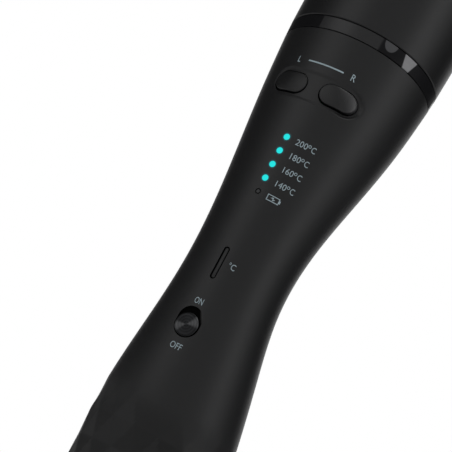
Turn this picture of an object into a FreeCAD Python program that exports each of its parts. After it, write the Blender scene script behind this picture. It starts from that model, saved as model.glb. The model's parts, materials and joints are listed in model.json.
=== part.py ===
import FreeCAD, Part
import math
import os
from FreeCAD import Placement, Rotation, Vector

# Cordless automatic hair curler. Millimetres, +Z from the base towards the head.
# Everything is modelled about the axis of the head, then moved so that the origin
# is the bottom centre of the whole object. The front, with the keys, faces -Y.

# ---- general ----
fit = 0.1                    # clearance between fixed pieces that slide together
seat = 0.05                  # clearance between fixed round pieces
seam = 0.4                   # height of the dark gap lines beside the faceted ring
handle_wall = 2.2
past = 1.0                   # how far a cutting solid runs past the face it cuts
far = 80.0                   # how far a cutting solid runs past the object

# ---- base and charging ----
base_height = 5.0            # where the sleeve starts
base_floor = 1.8
base_edge = 1.8              # rounding of the bottom edge
base_setback = 19.5
foot_depth = 0.6
foot_proud = 0.4
foot_outer = 20.0
foot_inner = 13.5
spigot_height = 3.0
spigot_wall = 1.4
socket_width = 9.0
socket_depth = 3.3
socket_length = 6.0
socket_skin = 0.3
tongue_width = 6.7
tongue_thickness = 0.7
tongue_inset = 1.0
charge_board_width = 22.0
charge_board_depth = 15.0
charge_board_thickness = 1.0
charge_post_spread = 8.0
post_radius = 1.8
holder_gap = 1.0             # charging board to cell holder

# ---- grip round the cells ----
grip_margin = 8.25           # grip's radius past a cell's diameter
grip_top_drop = 5.5          # upper section of the grip below the top of the cells
grip_low_rise = 3.5          # lower section above their foot

# ---- cells ----
cell_diameter = 18.3
cell_length = 50.0
cell_gap = 0.6
cell_setback = 11.0
cell_edge = 0.5
cell_groove_drop = 2.4
cell_groove_height = 1.2
cell_groove_depth = 0.5
holder_plate = 1.5
holder_rim = 1.0
holder_cup = 4.0
holder_rail = 6.0
holder_post_spread = 4.5     # of the posts under the holder, from each cell's axis
holder_post_setbacks = (-6.0, 1.0)
tab_thickness = 0.3
tab_width = 7.0
tab_overhang = 3.0

# ---- key panel, a chain of distances down the front from the ring ----
key_drop = 20.9              # ring to the middle of the keys
light_step = 18.9            # keys to the first light
light_pitch = 5.1
battery_step = 5.0
temperature_step = 21.05     # battery light to the end of the temperature key
temperature_length = 10.7
slider_step = 17.05          # temperature key to the slider
board_margin = 9.1           # slider to the board's lower end
board_top_margin = 10.9      # keys to the board's upper end
frame_foot = 9.7             # board to cell holder

key_inner = 2.5              # inner end of each key, from the middle
key_outer = 15.1
key_height = 8.2
key_gap = 0.3
key_travel = 0.6
key_sink = 0.24              # inner half of the key below the surface
key_dome = 1.0               # outer half of the key above the surface
key_dome_radius = 5.1
key_dome_stretch = 1.15
key_dome_inset = 4.5
recess_side = 2.3            # recess past the keys at the sides
recess_rise = 1.5            # and above and below
recess_depth = 0.6
light_names = ("200", "180", "160", "140")
light_radius = 1.05
light_gap = 0.025
battery_light_radius = 0.8
chip_width = 3.5
chip_height = 2.8
chip_depth = 1.9
chip_gap = 0.3
temperature_width = 1.2
temperature_gap = 0.3
temperature_sink = 0.15
slider_radius = 4.0
slider_travel = 2.0
slider_gap = 0.35
slider_float = 0.15
slider_thickness = 1.5
slider_edge = 0.35
slider_floor = 1.0           # wall left under the slider
slider_stem_width = 3.0
slider_stem_height = 2.0
slider_stem_gap = 0.25
carriage_gap = 0.65
carriage_thickness = 1.2
carriage_width = 7.0
carriage_height = 8.0
lever_width = 1.6
lever_seat = 0.2
lever_reach = 1.0
lever_gap = 0.15
switch_width = 3.6
switch_length = 8.6
switch_height = 2.6
plunger_radius = 1.5
plunger_gap = 0.1            # radial clearance of each plunger
plunger_drop = 0.3           # top of each plunger behind its button's flange
plunger_rest = 0.1           # left under a pressed plunger
tact_size = 6.0
tact_height = 1.8
tact_floor = 0.3
tact_inset = 0.2             # from the board's edge
flange_gap = 0.3             # behind the wall
flange_thickness = 0.8
flange_margin = 0.8

board_gap = 6.0              # wall to board
board_thickness = 1.2
board_width = 20.0
board_screw_inset = 3.5
board_screw_drop = 4.0
board_screw_hole = 1.0
board_screw_head = 1.6
board_screw_head_height = 0.8
board_screw_length = 5.0
screw_radius = 0.8
frame_depth = 5.0
frame_wall = 1.5
frame_ribs = 5
frame_rib_drop = 2.0
frame_boss = 2.2
frame_leg_width = 16.0
frame_leg = 2.0
frame_leg_overlap = 3.0
frame_post_radius = 2.4
frame_post_spread = 7.0
frame_post_length = 12.0
frame_post_bore = 8.0
# Chips on the board: x, height above the temperature key's switch, width, height, thickness.
board_chips = [(-4.0, 14.0, 7.0, 7.0, 1.2), (6.0, 14.0, 3.5, 5.0, 2.0),
               (5.5, -8.0, 4.5, 6.0, 1.6), (-5.0, -8.0, 4.0, 5.0, 1.6)]

# ---- faceted ring ----
ring_height = 4.6
ring_radius = 28.5
ring_wall = 4.0
ring_facets = 24
ring_lean = 0.3              # lower edge inside the upper edge
ring_step = 0.4              # handle inside the ring
seam_depth = 1.5

# ---- head ----
head_height = 91.3           # faceted ring to the top rim
head_bulges = [(0.0, 0.0), (20.0, 0.7), (48.0, 0.9)]    # height, growth past the ring
head_top_bulge = 0.1
head_wall = 2.2
head_floor = 1.5
head_floor_inset = 1.0
rim_height = 3.0
rim_edge = 1.0
slot_floor = 27.0            # bottom of the hair slot above the ring
slot_bottom_width = 9.0
slot_top_width = 22.0
slot_depth = 21.4            # from the ring's radius inwards
slot_trim_wall = 1.2
slot_trim_drop = 5.0
liner_step = 0.4             # liner inside the ring's bore
liner_wall = 1.2
liner_gap = 0.7              # drum to liner
collar_wall = 1.4            # of the seat under the liner
collar_rise = 7.0

# ---- gears ----
gear_module = 0.8
drum_teeth = 24
pinion_teeth = 12
pressure_angle = 25.0
addendum = 0.8               # in modules
dedendum = 1.05              # in modules
backlash = 0.12              # taken from each tooth
gear_height = 4.2
gear_floor = 5.4             # gears above the ring's lower edge
gear_gap = 0.4               # pinion to drum
washer_gap = 0.2
bush_wall = 1.0
bush_flange = 1.8
running_gap = 0.05

# ---- hair drum ----
drum_wall = 1.4
drum_hub_height = 2.7
drum_top_gap = 1.5           # below the rim
drum_slot_width = 15.0
drum_slot_drop = 3.0         # below the head's slot
hook_drop = 6.0
hook_length = 5.0
hook_height = 4.0

# ---- heating barrel ----
barrel_radius = 12.0
barrel_wall = 1.2
barrel_gap = 0.3             # drum to barrel foot
foot_collar_radius = 13.2
foot_collar_height = 3.0
foot_spigot = 3.0
stem_radius = 5.6
stem_bore = 3.4
tip_radius = 12.4
tip_height = 10.0
tip_edge = 5.0
tip_spigot = 3.5
tip_drop = 4.3               # below the rim
element_width = 14.0
element_thickness = 2.6
element_inset = 2.0
sensor_radius = 1.0
sensor_length = 10.0
fuse_radius = 2.0
fuse_length = 12.0
sensor_inset = 2.75          # fuse and sensor inside the barrel's bore

# ---- motor ----
motor_width = 12.0
motor_depth = 10.0
motor_length = 15.2
motor_boss = 2.5
motor_boss_height = 0.8
gearbox_length = 9.0
gearbox_plate = 1.0
gearbox_plate_gap = 1.6
gearbox_pillar = 0.9
gearbox_pillar_inset = 1.2
gearbox_core = 4.0
gearbox_lug = 1.4
shaft_radius = 1.5
shaft_gap = 0.5
shaft_end_gap = 0.3
shaft_length = 18.6
bulkhead = 3.0
motor_screw_spread = 4.5
motor_screw_depth = 3.0
frame_screw_depth = 6.0
screw_head = 1.5
screw_head_height = 0.9
screw_slot_depth = 0.4
screw_slot_width = 0.4

nodes = {}


def rod(radius, z0, z1, x=0.0, y=0.0):
    return Part.makeCylinder(radius, z1 - z0, Vector(x, y, z0))


def tube(outer, inner, z0, z1, x=0.0, y=0.0):
    return rod(outer, z0, z1, x, y).cut(rod(inner, z0 - past, z1 + past, x, y))


def block(x0, x1, y0, y1, z0, z1):
    return Part.makeBox(x1 - x0, y1 - y0, z1 - z0, Vector(x0, y0, z0))


def pin(radius, y0, y1, x, z):
    """A round prism along Y."""
    return Part.makeCylinder(radius, y1 - y0, Vector(x, y0, z), Vector(0, 1, 0))


def stadium(width, height, x, z):
    """A long prism along Y with round ends, longer along X or Z, out from y = 0 past the front."""
    radius = min(width, height) / 2
    half_x = width / 2 - radius
    half_z = height / 2 - radius
    ends = [pin(radius, -far, 0, x + side * half_x, z + side * half_z) for side in (-1, 1)]
    if half_x > half_z:
        middle = block(x - half_x, x + half_x, -far, 0, z - radius, z + radius)
    else:
        middle = block(x - radius, x + radius, -far, 0, z - half_z, z + half_z)
    return ends[0].fuse(ends[1]).fuse(middle).removeSplitter()


def upright_stadium(width, depth, z0, z1, y=0.0):
    """A prism along Z with round ends, longer along X."""
    reach = (width - depth) / 2
    ends = rod(depth / 2, z0, z1, -reach, y).fuse(rod(depth / 2, z0, z1, reach, y))
    return ends.fuse(block(-reach, reach, y - depth / 2, y + depth / 2, z0, z1)).removeSplitter()


def between(z0, z1):
    """A slab across the whole object."""
    return block(-far, far, -far, far, z0, z1)


def save(name, shape):
    nodes[name] = shape


# ---- heights up the handle ----
cap_floor = foot_proud + foot_depth + base_floor
spigot_top = base_height + spigot_height
socket_top = foot_proud + socket_skin + socket_length
holder_z = socket_top + charge_board_thickness + holder_gap
cell_radius = cell_diameter / 2
cell_x = cell_radius + cell_gap / 2
cell_z = holder_z + holder_plate + tab_thickness
cell_top = cell_z + cell_length
holder_top = cell_top + tab_thickness + holder_plate

light_drops = [key_drop + light_step + i * light_pitch for i in range(len(light_names))]
battery_drop = light_drops[-1] + battery_step
temperature_drop = battery_drop + temperature_step + temperature_length / 2
slider_drop = temperature_drop + temperature_length / 2 + slider_step
board_top_drop = key_drop - board_top_margin
board_bottom_drop = slider_drop + board_margin
handle_height = holder_top + frame_foot + board_bottom_drop
ring_z = handle_height

# ---- the handle's form ----
# Round sections: drop below the ring, radius, set-back of the centre. The waist is
# given from the ring, and the grip that holds the cells is given from the base.
grip_radius = cell_diameter + grip_margin
grip_top = cell_top - grip_top_drop
grip_middle = cell_length * 0.6
grip_low = cell_z + grip_low_rise
handle_sections = [
    (0.0, ring_radius - ring_step, 0.0),
    (20.0, 26.0, -0.1),
    (45.0, 22.1, -1.6),
    (70.0, 18.6, -2.9),
    (90.0, 18.3, -1.6),
    (110.0, 20.9, 2.4),
    (handle_height - grip_top, grip_radius - 1.95, 8.0),
    (handle_height - grip_middle, grip_radius, 14.6),
    (handle_height - grip_low, grip_radius + 0.35, 18.0),
    (handle_height, grip_radius - 0.95, base_setback),
]
section_pitch = 10.0


def natural_spline(places, values):
    """The smooth curve through the values, straight at both ends, as a function of place."""
    count = len(places)
    gaps = [places[i + 1] - places[i] for i in range(count - 1)]
    slopes = [(values[i + 1] - values[i]) / gaps[i] for i in range(count - 1)]
    share, bend = [0.0], [0.0]
    for i in range(1, count - 1):
        pivot = 2 * (gaps[i - 1] + gaps[i]) - gaps[i - 1] * share[i - 1]
        share.append(gaps[i] / pivot)
        bend.append((6 * (slopes[i] - slopes[i - 1]) - gaps[i - 1] * bend[i - 1]) / pivot)
    bend.append(0.0)
    for i in range(count - 2, 0, -1):
        bend[i] -= share[i] * bend[i + 1]

    def value(place):
        i = max(j for j in range(count - 1) if j == 0 or places[j] <= place)
        after = place - places[i]
        before = gaps[i] - after
        curved = (bend[i] * before ** 3 + bend[i + 1] * after ** 3) / (6 * gaps[i])
        left = (values[i] / gaps[i] - bend[i] * gaps[i] / 6) * before
        right = (values[i + 1] / gaps[i] - bend[i + 1] * gaps[i] / 6) * after
        return curved + left + right

    return value


section_drops = [drop for drop, radius, setback in handle_sections]
body_radius = natural_spline(section_drops, [radius for drop, radius, setback in handle_sections])
body_setback = natural_spline(section_drops, [setback for drop, radius, setback in handle_sections])


def body_form(inset, smooth=False):
    """The handle's form, drawn in by inset."""
    count = round(handle_height / section_pitch)
    drops = [handle_height * (count - i) / count for i in range(count + 1)]
    wires = [Part.Wire(Part.makeCircle(body_radius(drop) - inset, Vector(0, body_setback(drop), ring_z - drop)))
             for drop in drops]
    return Part.makeLoft(wires, True, not smooth)


flange_back = handle_wall + flange_gap + flange_thickness
outer_body = body_form(0.0, smooth=True)
inner_body = body_form(handle_wall)
flange_near = body_form(handle_wall + flange_gap)
flange_far = body_form(flange_back)


def wall_at(z, x=0.0):
    """The front of the handle at height z and distance x from the middle."""
    drop = ring_z - z
    return body_setback(drop) - math.sqrt(body_radius(drop) ** 2 - x ** 2)


# The key panel is a plane parallel to the front line of the handle.
panel_top_z = ring_z - board_top_drop
panel_bottom_z = ring_z - board_bottom_drop
front_top = wall_at(panel_top_z) + handle_wall
front_bottom = wall_at(panel_bottom_z) + handle_wall
panel_tilt = math.atan2(front_bottom - front_top, panel_top_z - panel_bottom_z)
panel_place = Placement(Vector(0, front_bottom + board_gap, panel_bottom_z),
                        Rotation(Vector(1, 0, 0), math.degrees(panel_tilt)))
panel_length = (panel_top_z - panel_bottom_z) / math.cos(panel_tilt)


def on_panel(shape):
    """Places a shape drawn with the board's face at y = 0 and its foot at z = 0."""
    placed = shape.copy()
    placed.Placement = panel_place.multiply(placed.Placement)
    return placed


def panel_point(drop, x=0.0):
    """Panel coordinates of the point of the outer surface at this drop."""
    z = ring_z - drop
    return panel_place.inverse().multVec(Vector(x, wall_at(z, x), z))


# ---- base, charging and cells ----
def base_cap():
    cap = outer_body.common(between(foot_proud, base_height))
    corner = [e for e in cap.Edges if e.BoundBox.ZMax < foot_proud + seat]
    cap = cap.makeFillet(base_edge, corner)
    cap = cap.fuse(body_form(handle_wall + fit).common(between(cap_floor, spigot_top)))
    hollow_radius = handle_sections[-1][1] - handle_wall - fit - spigot_wall
    cap = cap.cut(rod(hollow_radius, cap_floor, spigot_top + past, 0, base_setback))
    cap = cap.cut(tube(foot_outer + fit, foot_inner - fit, 0, foot_proud + foot_depth, 0, base_setback))
    cap = cap.cut(upright_stadium(socket_width + 2 * fit, socket_depth + 2 * fit, 0, cap_floor + past,
                                  base_setback))
    for side in (-1, 1):
        cap = cap.fuse(rod(post_radius, cap_floor, socket_top, side * charge_post_spread, base_setback))
        for setback in holder_post_setbacks:
            cap = cap.fuse(rod(post_radius, cap_floor, holder_z, side * (cell_x + holder_post_spread),
                               cell_setback + setback))
    return cap.removeSplitter()


def charging():
    shell_z = foot_proud + socket_skin
    shell = upright_stadium(socket_width, socket_depth, shell_z, socket_top, base_setback)
    inside = upright_stadium(socket_width - 2 * socket_skin, socket_depth - 2 * socket_skin,
                             shell_z - past, socket_top - tongue_inset, base_setback)
    half_width, half_depth = tongue_width / 2, tongue_thickness / 2
    tongue = block(-half_width, half_width, base_setback - half_depth, base_setback + half_depth,
                   shell_z + tongue_inset, socket_top)
    save("charge_socket", shell.cut(inside).fuse(tongue))
    half_width, half_depth = charge_board_width / 2, charge_board_depth / 2
    save("charge_board", block(-half_width, half_width, base_setback - half_depth, base_setback + half_depth,
                               socket_top, socket_top + charge_board_thickness))


def cells():
    for name, side in (("cell_left", -1), ("cell_right", 1)):
        x = side * cell_x
        can = rod(cell_radius, cell_z, cell_top, x, cell_setback)
        can = can.makeChamfer(cell_edge, [e for e in can.Edges if e.BoundBox.ZLength < seat])
        groove_top = cell_top - cell_groove_drop
        groove = tube(cell_radius + past, cell_radius - cell_groove_depth, groove_top - cell_groove_height,
                      groove_top, x, cell_setback)
        save(name, can.cut(groove))
    reach = cell_x + tab_overhang
    near, away = cell_setback - tab_width / 2, cell_setback + tab_width / 2
    tabs = [block(-reach, reach, near, away, z, z + tab_thickness) for z in (cell_z - tab_thickness, cell_top)]
    save("cell_tabs", Part.makeCompound(tabs))


def cell_holder():
    """Two end cups joined by a rail in front and one behind."""
    inner_width = 2 * (cell_x + cell_radius + fit)
    inner_depth = 2 * (cell_radius + fit)
    width, depth = inner_width + 2 * holder_rim, inner_depth + 2 * holder_rim
    low = upright_stadium(width, depth, holder_z, cell_z + holder_cup, cell_setback)
    low = low.cut(upright_stadium(inner_width, inner_depth, holder_z + holder_plate, cell_z + holder_cup + past,
                                  cell_setback))
    high = upright_stadium(width, depth, cell_top - holder_cup, holder_top, cell_setback)
    high = high.cut(upright_stadium(inner_width, inner_depth, cell_top - holder_cup - past,
                                    holder_top - holder_plate, cell_setback))
    holder = low.fuse(high)
    for side in (-1, 1):
        y0, y1 = sorted((cell_setback + side * inner_depth / 2, cell_setback + side * depth / 2))
        holder = holder.fuse(block(-holder_rail / 2, holder_rail / 2, y0, y1, cell_z, cell_top))
    return holder.removeSplitter()


# ---- key panel ----
board_half = board_width / 2
frame_back = board_thickness + frame_depth
key_x = (key_inner + key_outer) / 2
key_width = key_outer - key_inner
key_z = panel_point(key_drop, key_x).z
tact_x = board_half - tact_size / 2 - tact_inset
key_plunger_top = -panel_point(key_drop, tact_x + plunger_radius).y - flange_back - plunger_drop
light_heights = [panel_point(drop).z for drop in light_drops]
battery_z = panel_point(battery_drop).z
temperature_z = panel_point(temperature_drop).z
temperature_plunger_top = -panel_point(temperature_drop, plunger_radius).y - flange_back - plunger_drop
slider_place = panel_point(slider_drop)
slider_z = slider_place.z
slot_middle = slider_z + slider_travel / 2
board_screw_x = board_half - board_screw_inset
screw_places = [(side * board_screw_x, z) for side in (-1, 1)
                for z in (board_screw_drop, panel_length - board_screw_drop)]
frame_post_y = front_top + board_gap + frame_back - frame_wall / 2


def board_frame():
    frame = block(-board_half, board_half, frame_back - frame_wall, frame_back, 0, panel_length)
    for side in (-1, 1):
        x0, x1 = sorted((side * board_half, side * (board_half - frame_wall)))
        frame = frame.fuse(block(x0, x1, board_thickness, frame_back, 0, panel_length))
    for i in range(frame_ribs):
        z = panel_length * (i + 0.5) / frame_ribs
        frame = frame.fuse(block(-board_half, board_half, board_thickness + frame_rib_drop, frame_back,
                                 z, z + frame_wall))
    for x, z in screw_places:
        frame = frame.fuse(pin(frame_boss, board_thickness, frame_back, x, z))
    frame = on_panel(frame)
    leg_half = frame_leg_width / 2
    leg_y = front_bottom + board_gap + frame_back
    frame = frame.fuse(block(-leg_half, leg_half, leg_y - frame_leg, leg_y, holder_top,
                             panel_bottom_z + frame_leg_overlap))
    frame = frame.fuse(block(-leg_half, leg_half, leg_y - frame_leg, cell_setback, holder_top,
                             holder_top + frame_leg))
    post_top = ring_z - bulkhead
    for side in (-1, 1):
        x = side * frame_post_spread
        frame = frame.fuse(rod(frame_post_radius, panel_top_z - frame_post_length, post_top, x, frame_post_y))
        frame = frame.cut(rod(screw_radius, post_top - frame_post_bore, post_top, x, frame_post_y))
    for x, z in screw_places:
        frame = frame.cut(on_panel(pin(screw_radius, board_thickness, frame_back, x, z)))
    return frame.removeSplitter()


def tact(x, z):
    """A push switch on the board with the bore that its plunger slides in."""
    half = tact_size / 2
    body = block(x - half, x + half, -tact_height, 0, z - half, z + half)
    return body.cut(pin(plunger_radius + plunger_gap, -tact_height - past, -tact_floor, x, z))


def plunger(x, z, top):
    foot = tact_floor + plunger_rest + key_travel
    return pin(plunger_radius, -top, -foot, x, z)


def board():
    plate = block(-board_half, board_half, 0, board_thickness, 0, panel_length)
    screws = []
    for x, z in screw_places:
        plate = plate.cut(pin(board_screw_hole, -past, board_thickness + past, x, z))
        head = pin(board_screw_head, -board_screw_head_height, 0, x, z)
        screws.append(on_panel(head.fuse(pin(screw_radius, 0, board_screw_length, x, z))))
    save("main_board", on_panel(plate))
    save("board_screws", Part.makeCompound(screws))
    chips = [on_panel(block(-chip_width / 2, chip_width / 2, -chip_depth, 0, z - chip_height / 2,
                            z + chip_height / 2)) for z in light_heights + [battery_z]]
    save("status_lights", Part.makeCompound(chips))
    parts = [block(x - width / 2, x + width / 2, -thickness, 0, temperature_z + rise - height / 2,
                   temperature_z + rise + height / 2) for x, rise, width, height, thickness in board_chips]
    save("board_parts", Part.makeCompound([on_panel(part) for part in parts]))


def lens(radius, z):
    """A clear rod that carries the light from its chip to the surface."""
    return on_panel(pin(radius, -far, -chip_depth - chip_gap, 0, z)).common(outer_body)


def retained(outline, wide_outline, post_x, z, plunger_top):
    """A button: its outline through the wall, a flange behind the wall and a post to the plunger."""
    flange = on_panel(wide_outline).common(flange_near.cut(flange_far))
    post = on_panel(pin(plunger_radius, -far, -plunger_top, post_x, z)).common(flange_near)
    return outline.cut(flange_far).fuse(flange).fuse(post).removeSplitter()


def key(side):
    """A key with a low inner half and a domed outer half."""
    outline = on_panel(stadium(key_width, key_height, side * key_x, key_z))
    plate = outline.common(body_form(key_sink, smooth=True))
    crown = panel_point(key_drop, key_outer - key_dome_inset)
    ball = Part.makeSphere(key_dome_radius)
    stretch = FreeCAD.Matrix()
    stretch.scale(key_dome_stretch, 1.0, 1.0)
    ball = ball.transformGeometry(stretch)
    ball.translate(Vector(side * crown.x, crown.y - key_dome + key_dome_radius, crown.z))
    solid = plate.fuse(on_panel(ball).common(outline))
    wide = stadium(key_width + 2 * flange_margin, key_height + 2 * flange_margin, side * key_x, key_z)
    return retained(solid, wide, side * tact_x, key_z, key_plunger_top)


def temperature_button():
    bar = on_panel(stadium(temperature_width, temperature_length, 0, temperature_z))
    bar = bar.common(body_form(temperature_sink, smooth=True))
    wide = stadium(2 * plunger_radius + flange_margin, temperature_length + 2 * flange_margin, 0, temperature_z)
    return retained(bar, wide, 0, temperature_z, temperature_plunger_top)


def keys():
    for name, side in (("left", -1), ("right", 1)):
        save(name + "_key", key(side))
        save(name + "_plunger", on_panel(plunger(side * tact_x, key_z, key_plunger_top)))
    save("key_switches", Part.makeCompound([on_panel(tact(side * tact_x, key_z)) for side in (-1, 1)]))
    save("temperature_button", temperature_button())
    save("temperature_plunger", on_panel(plunger(0, temperature_z, temperature_plunger_top)))
    save("temperature_switch", on_panel(tact(0, temperature_z)))


def power_switch():
    """The sliding disc, the carriage behind the wall, its lever and the switch on the board."""
    inner_face = slider_place.y + handle_wall
    disc_back = inner_face - slider_floor - slider_float
    disc_front = disc_back - slider_thickness
    disc = pin(slider_radius, disc_front, disc_back, 0, slider_z)
    disc = disc.makeChamfer(slider_edge, [e for e in disc.Edges if e.BoundBox.YMax < disc_front + seat])
    carriage_face = inner_face + carriage_gap
    stem = block(-slider_stem_width / 2, slider_stem_width / 2, disc_back, carriage_face,
                 slider_z - slider_stem_height / 2, slider_z + slider_stem_height / 2)
    save("power_slider", on_panel(disc.fuse(stem)))
    carriage = block(-carriage_width / 2, carriage_width / 2, carriage_face, carriage_face + carriage_thickness,
                     slider_z - carriage_height / 2, slider_z + carriage_height / 2)
    half = lever_width / 2
    lever_foot = -switch_height + lever_reach
    lever = block(-half, half, carriage_face + lever_seat, lever_foot, slider_z - half, slider_z + half)
    save("slider_carriage", on_panel(carriage.cut(lever)))
    save("switch_lever", on_panel(lever))
    body = block(-switch_width / 2, switch_width / 2, -switch_height, 0, slot_middle - switch_length / 2,
                 slot_middle + switch_length / 2)
    slot_half = half + slider_travel / 2 + lever_gap
    slot = block(-half - lever_gap, half + lever_gap, -switch_height - past, lever_foot + lever_gap,
                 slot_middle - slot_half, slot_middle + slot_half)
    save("power_switch", on_panel(body.cut(slot)))


def handle_sleeve():
    sleeve = outer_body.cut(inner_body).common(between(base_height, ring_z - seam))
    recess = on_panel(stadium(2 * (key_outer + recess_side), key_height + 2 * recess_rise, 0, key_z))
    sleeve = sleeve.cut(recess.cut(body_form(recess_depth)))
    for side in (-1, 1):
        sleeve = sleeve.cut(on_panel(stadium(key_width + 2 * key_gap, key_height + 2 * key_gap, side * key_x,
                                             key_z)))
    for z in light_heights:
        sleeve = sleeve.cut(on_panel(pin(light_radius + light_gap, -far, 0, 0, z)))
    sleeve = sleeve.cut(on_panel(pin(battery_light_radius + light_gap, -far, 0, 0, battery_z)))
    sleeve = sleeve.cut(on_panel(stadium(temperature_width + 2 * temperature_gap,
                                         temperature_length + 2 * temperature_gap, 0, temperature_z)))
    pocket_width = 2 * (slider_radius + slider_gap)
    pocket = on_panel(stadium(pocket_width, pocket_width + slider_travel, 0, slot_middle))
    sleeve = sleeve.cut(pocket.cut(body_form(handle_wall - slider_floor)))
    slot_half = slider_stem_width / 2 + slider_stem_gap
    slot_rise = (slider_stem_height + slider_travel) / 2 + slider_stem_gap
    slot = block(-slot_half, slot_half, -far, 0, slot_middle - slot_rise, slot_middle + slot_rise)
    return sleeve.cut(on_panel(slot))


# ---- head, from the ring up and from the shell in ----
ring_top = ring_z + ring_height
ring_bore = ring_radius - ring_wall
shoulder = ring_radius - seam_depth  # radius of the gap lines
head_z = ring_top + seam
head_top = head_z + head_height
rim_z = head_top - rim_height
liner_outer = ring_bore - liner_step
liner_inner = liner_outer - liner_wall
liner_z = ring_z + collar_rise
drum_radius = liner_inner - liner_gap
drum_top = rim_z - drum_top_gap
gear_z = ring_z + gear_floor
gear_top = gear_z + gear_height
hub_z = gear_top + gear_gap
hub_top = hub_z + drum_hub_height
collar_z = hub_top + barrel_gap
barrel_z = collar_z + foot_collar_height
stem_top = barrel_z + foot_spigot
barrel_top = head_top - tip_drop - tip_height
barrel_bore = barrel_radius - barrel_wall
bush_outer = stem_radius + bush_wall
pinion_y = gear_module * (drum_teeth + pinion_teeth) / 2


def facet_ring():
    """A band of flat triangles that point up and down in turn, with a round bore."""
    step = 2 * math.pi / ring_facets

    def corner(i, radius, z):
        return Vector(radius * math.sin(i * step), -radius * math.cos(i * step), z)

    low = [corner(i, ring_radius - ring_lean, ring_z) for i in range(ring_facets)]
    high = [corner(i + 0.5, ring_radius, ring_top) for i in range(ring_facets)]
    faces = [Part.Face(Part.makePolygon(low + low[:1])), Part.Face(Part.makePolygon(high + high[:1]))]
    for i in range(ring_facets):
        after = (i + 1) % ring_facets
        faces.append(Part.Face(Part.makePolygon([low[i], low[after], high[i], low[i]])))
        faces.append(Part.Face(Part.makePolygon([low[after], high[after], high[i], low[after]])))
    band = Part.makeSolid(Part.makeShell(faces))
    return band.cut(rod(ring_bore, ring_z - past, ring_top + past))


def head_form(inset):
    """The head's outer form, drawn in by inset."""
    places = head_bulges + [(head_height - rim_height, head_top_bulge)]
    points = [Vector(ring_radius + bulge - inset, 0, head_z + height) for height, bulge in places]
    side = Part.BSplineCurve()
    side.interpolate(points)
    low, high = Vector(0, 0, head_z), Vector(0, 0, rim_z)
    wire = Part.Wire([Part.makeLine(low, points[0]), side.toShape(), Part.makeLine(points[-1], high),
                      Part.makeLine(high, low)])
    return Part.Face(wire).revolve(Vector(0, 0, 0), Vector(0, 0, 1), 360)


def hair_slot(grow):
    """The V-shaped slot as a prism along Y, with a round bottom."""
    radius = slot_bottom_width / 2
    low = ring_z + slot_floor + radius
    lean = (slot_top_width - slot_bottom_width) / 2 / (head_top - low)
    top = head_top + past
    half_low = radius + grow
    half_top = half_low + lean * (top - low)
    corners = [Vector(-half_low, -far, low), Vector(half_low, -far, low), Vector(half_top, -far, top),
               Vector(-half_top, -far, top)]
    inner = slot_depth - ring_radius
    vee = Part.Face(Part.makePolygon(corners + corners[:1])).extrude(Vector(0, far + inner, 0))
    return vee.fuse(pin(half_low, -far, inner, 0, low))


def head_base():
    """The bulkhead that closes the handle, the seat of the head and the barrel's stem."""
    low = ring_z - bulkhead
    base = body_form(handle_wall + fit).common(between(low, ring_z - seam))
    base = base.fuse(rod(shoulder, ring_z - seam, ring_z))
    base = base.fuse(tube(ring_bore - fit, ring_bore - fit - collar_wall, ring_z, liner_z))
    base = base.fuse(rod(stem_radius, ring_z, stem_top))
    base = base.cut(rod(stem_bore, low - past, stem_top + past))
    base = base.cut(rod(shaft_radius + shaft_gap, low - past, ring_z + past, 0, pinion_y))
    for side in (-1, 1):
        for x, y in ((motor_screw_spread, pinion_y), (frame_post_spread, frame_post_y)):
            base = base.cut(rod(screw_radius + fit, low - past, ring_z + past, side * x, y))
    return base.removeSplitter()


def head_screws():
    screws = []
    head_height_top = ring_z + screw_head_height
    for side in (-1, 1):
        for x, y, depth in ((motor_screw_spread, pinion_y, motor_screw_depth),
                            (frame_post_spread, frame_post_y, frame_screw_depth)):
            head = rod(screw_head, ring_z, head_height_top, side * x, y)
            head = head.cut(block(side * x - screw_head, side * x + screw_head, y - screw_slot_width / 2,
                                  y + screw_slot_width / 2, head_height_top - screw_slot_depth,
                                  head_height_top))
            screws.append(head.fuse(rod(screw_radius, ring_z - bulkhead - depth, ring_z, side * x, y)))
    return Part.makeCompound(screws)


def head_shell():
    shell = head_form(0.0).cut(head_form(head_wall))
    floor = tube(ring_radius - head_floor_inset, ring_bore, head_z, head_z + head_floor)
    lip = tube(shoulder, ring_bore, ring_top, head_z)
    return shell.fuse(floor).fuse(lip).cut(hair_slot(0.0)).removeSplitter()


def head_rim():
    radius = ring_radius + head_top_bulge
    rim = tube(radius, liner_inner, rim_z, head_top)
    edges = [e for e in rim.Edges
             if e.BoundBox.ZMin > head_top - seat and e.BoundBox.XLength > 2 * radius - seat]
    return rim.makeChamfer(rim_edge, edges).cut(hair_slot(0.0))


def slot_trim():
    """The lining of the slot's edge, between the liner and the shell."""
    gap = head_form(head_wall).cut(rod(liner_outer + seat, head_z - past, head_top))
    gap = gap.common(between(ring_z + slot_floor - slot_trim_drop, rim_z))
    return gap.common(hair_slot(slot_trim_wall).cut(hair_slot(0.0)))


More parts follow.
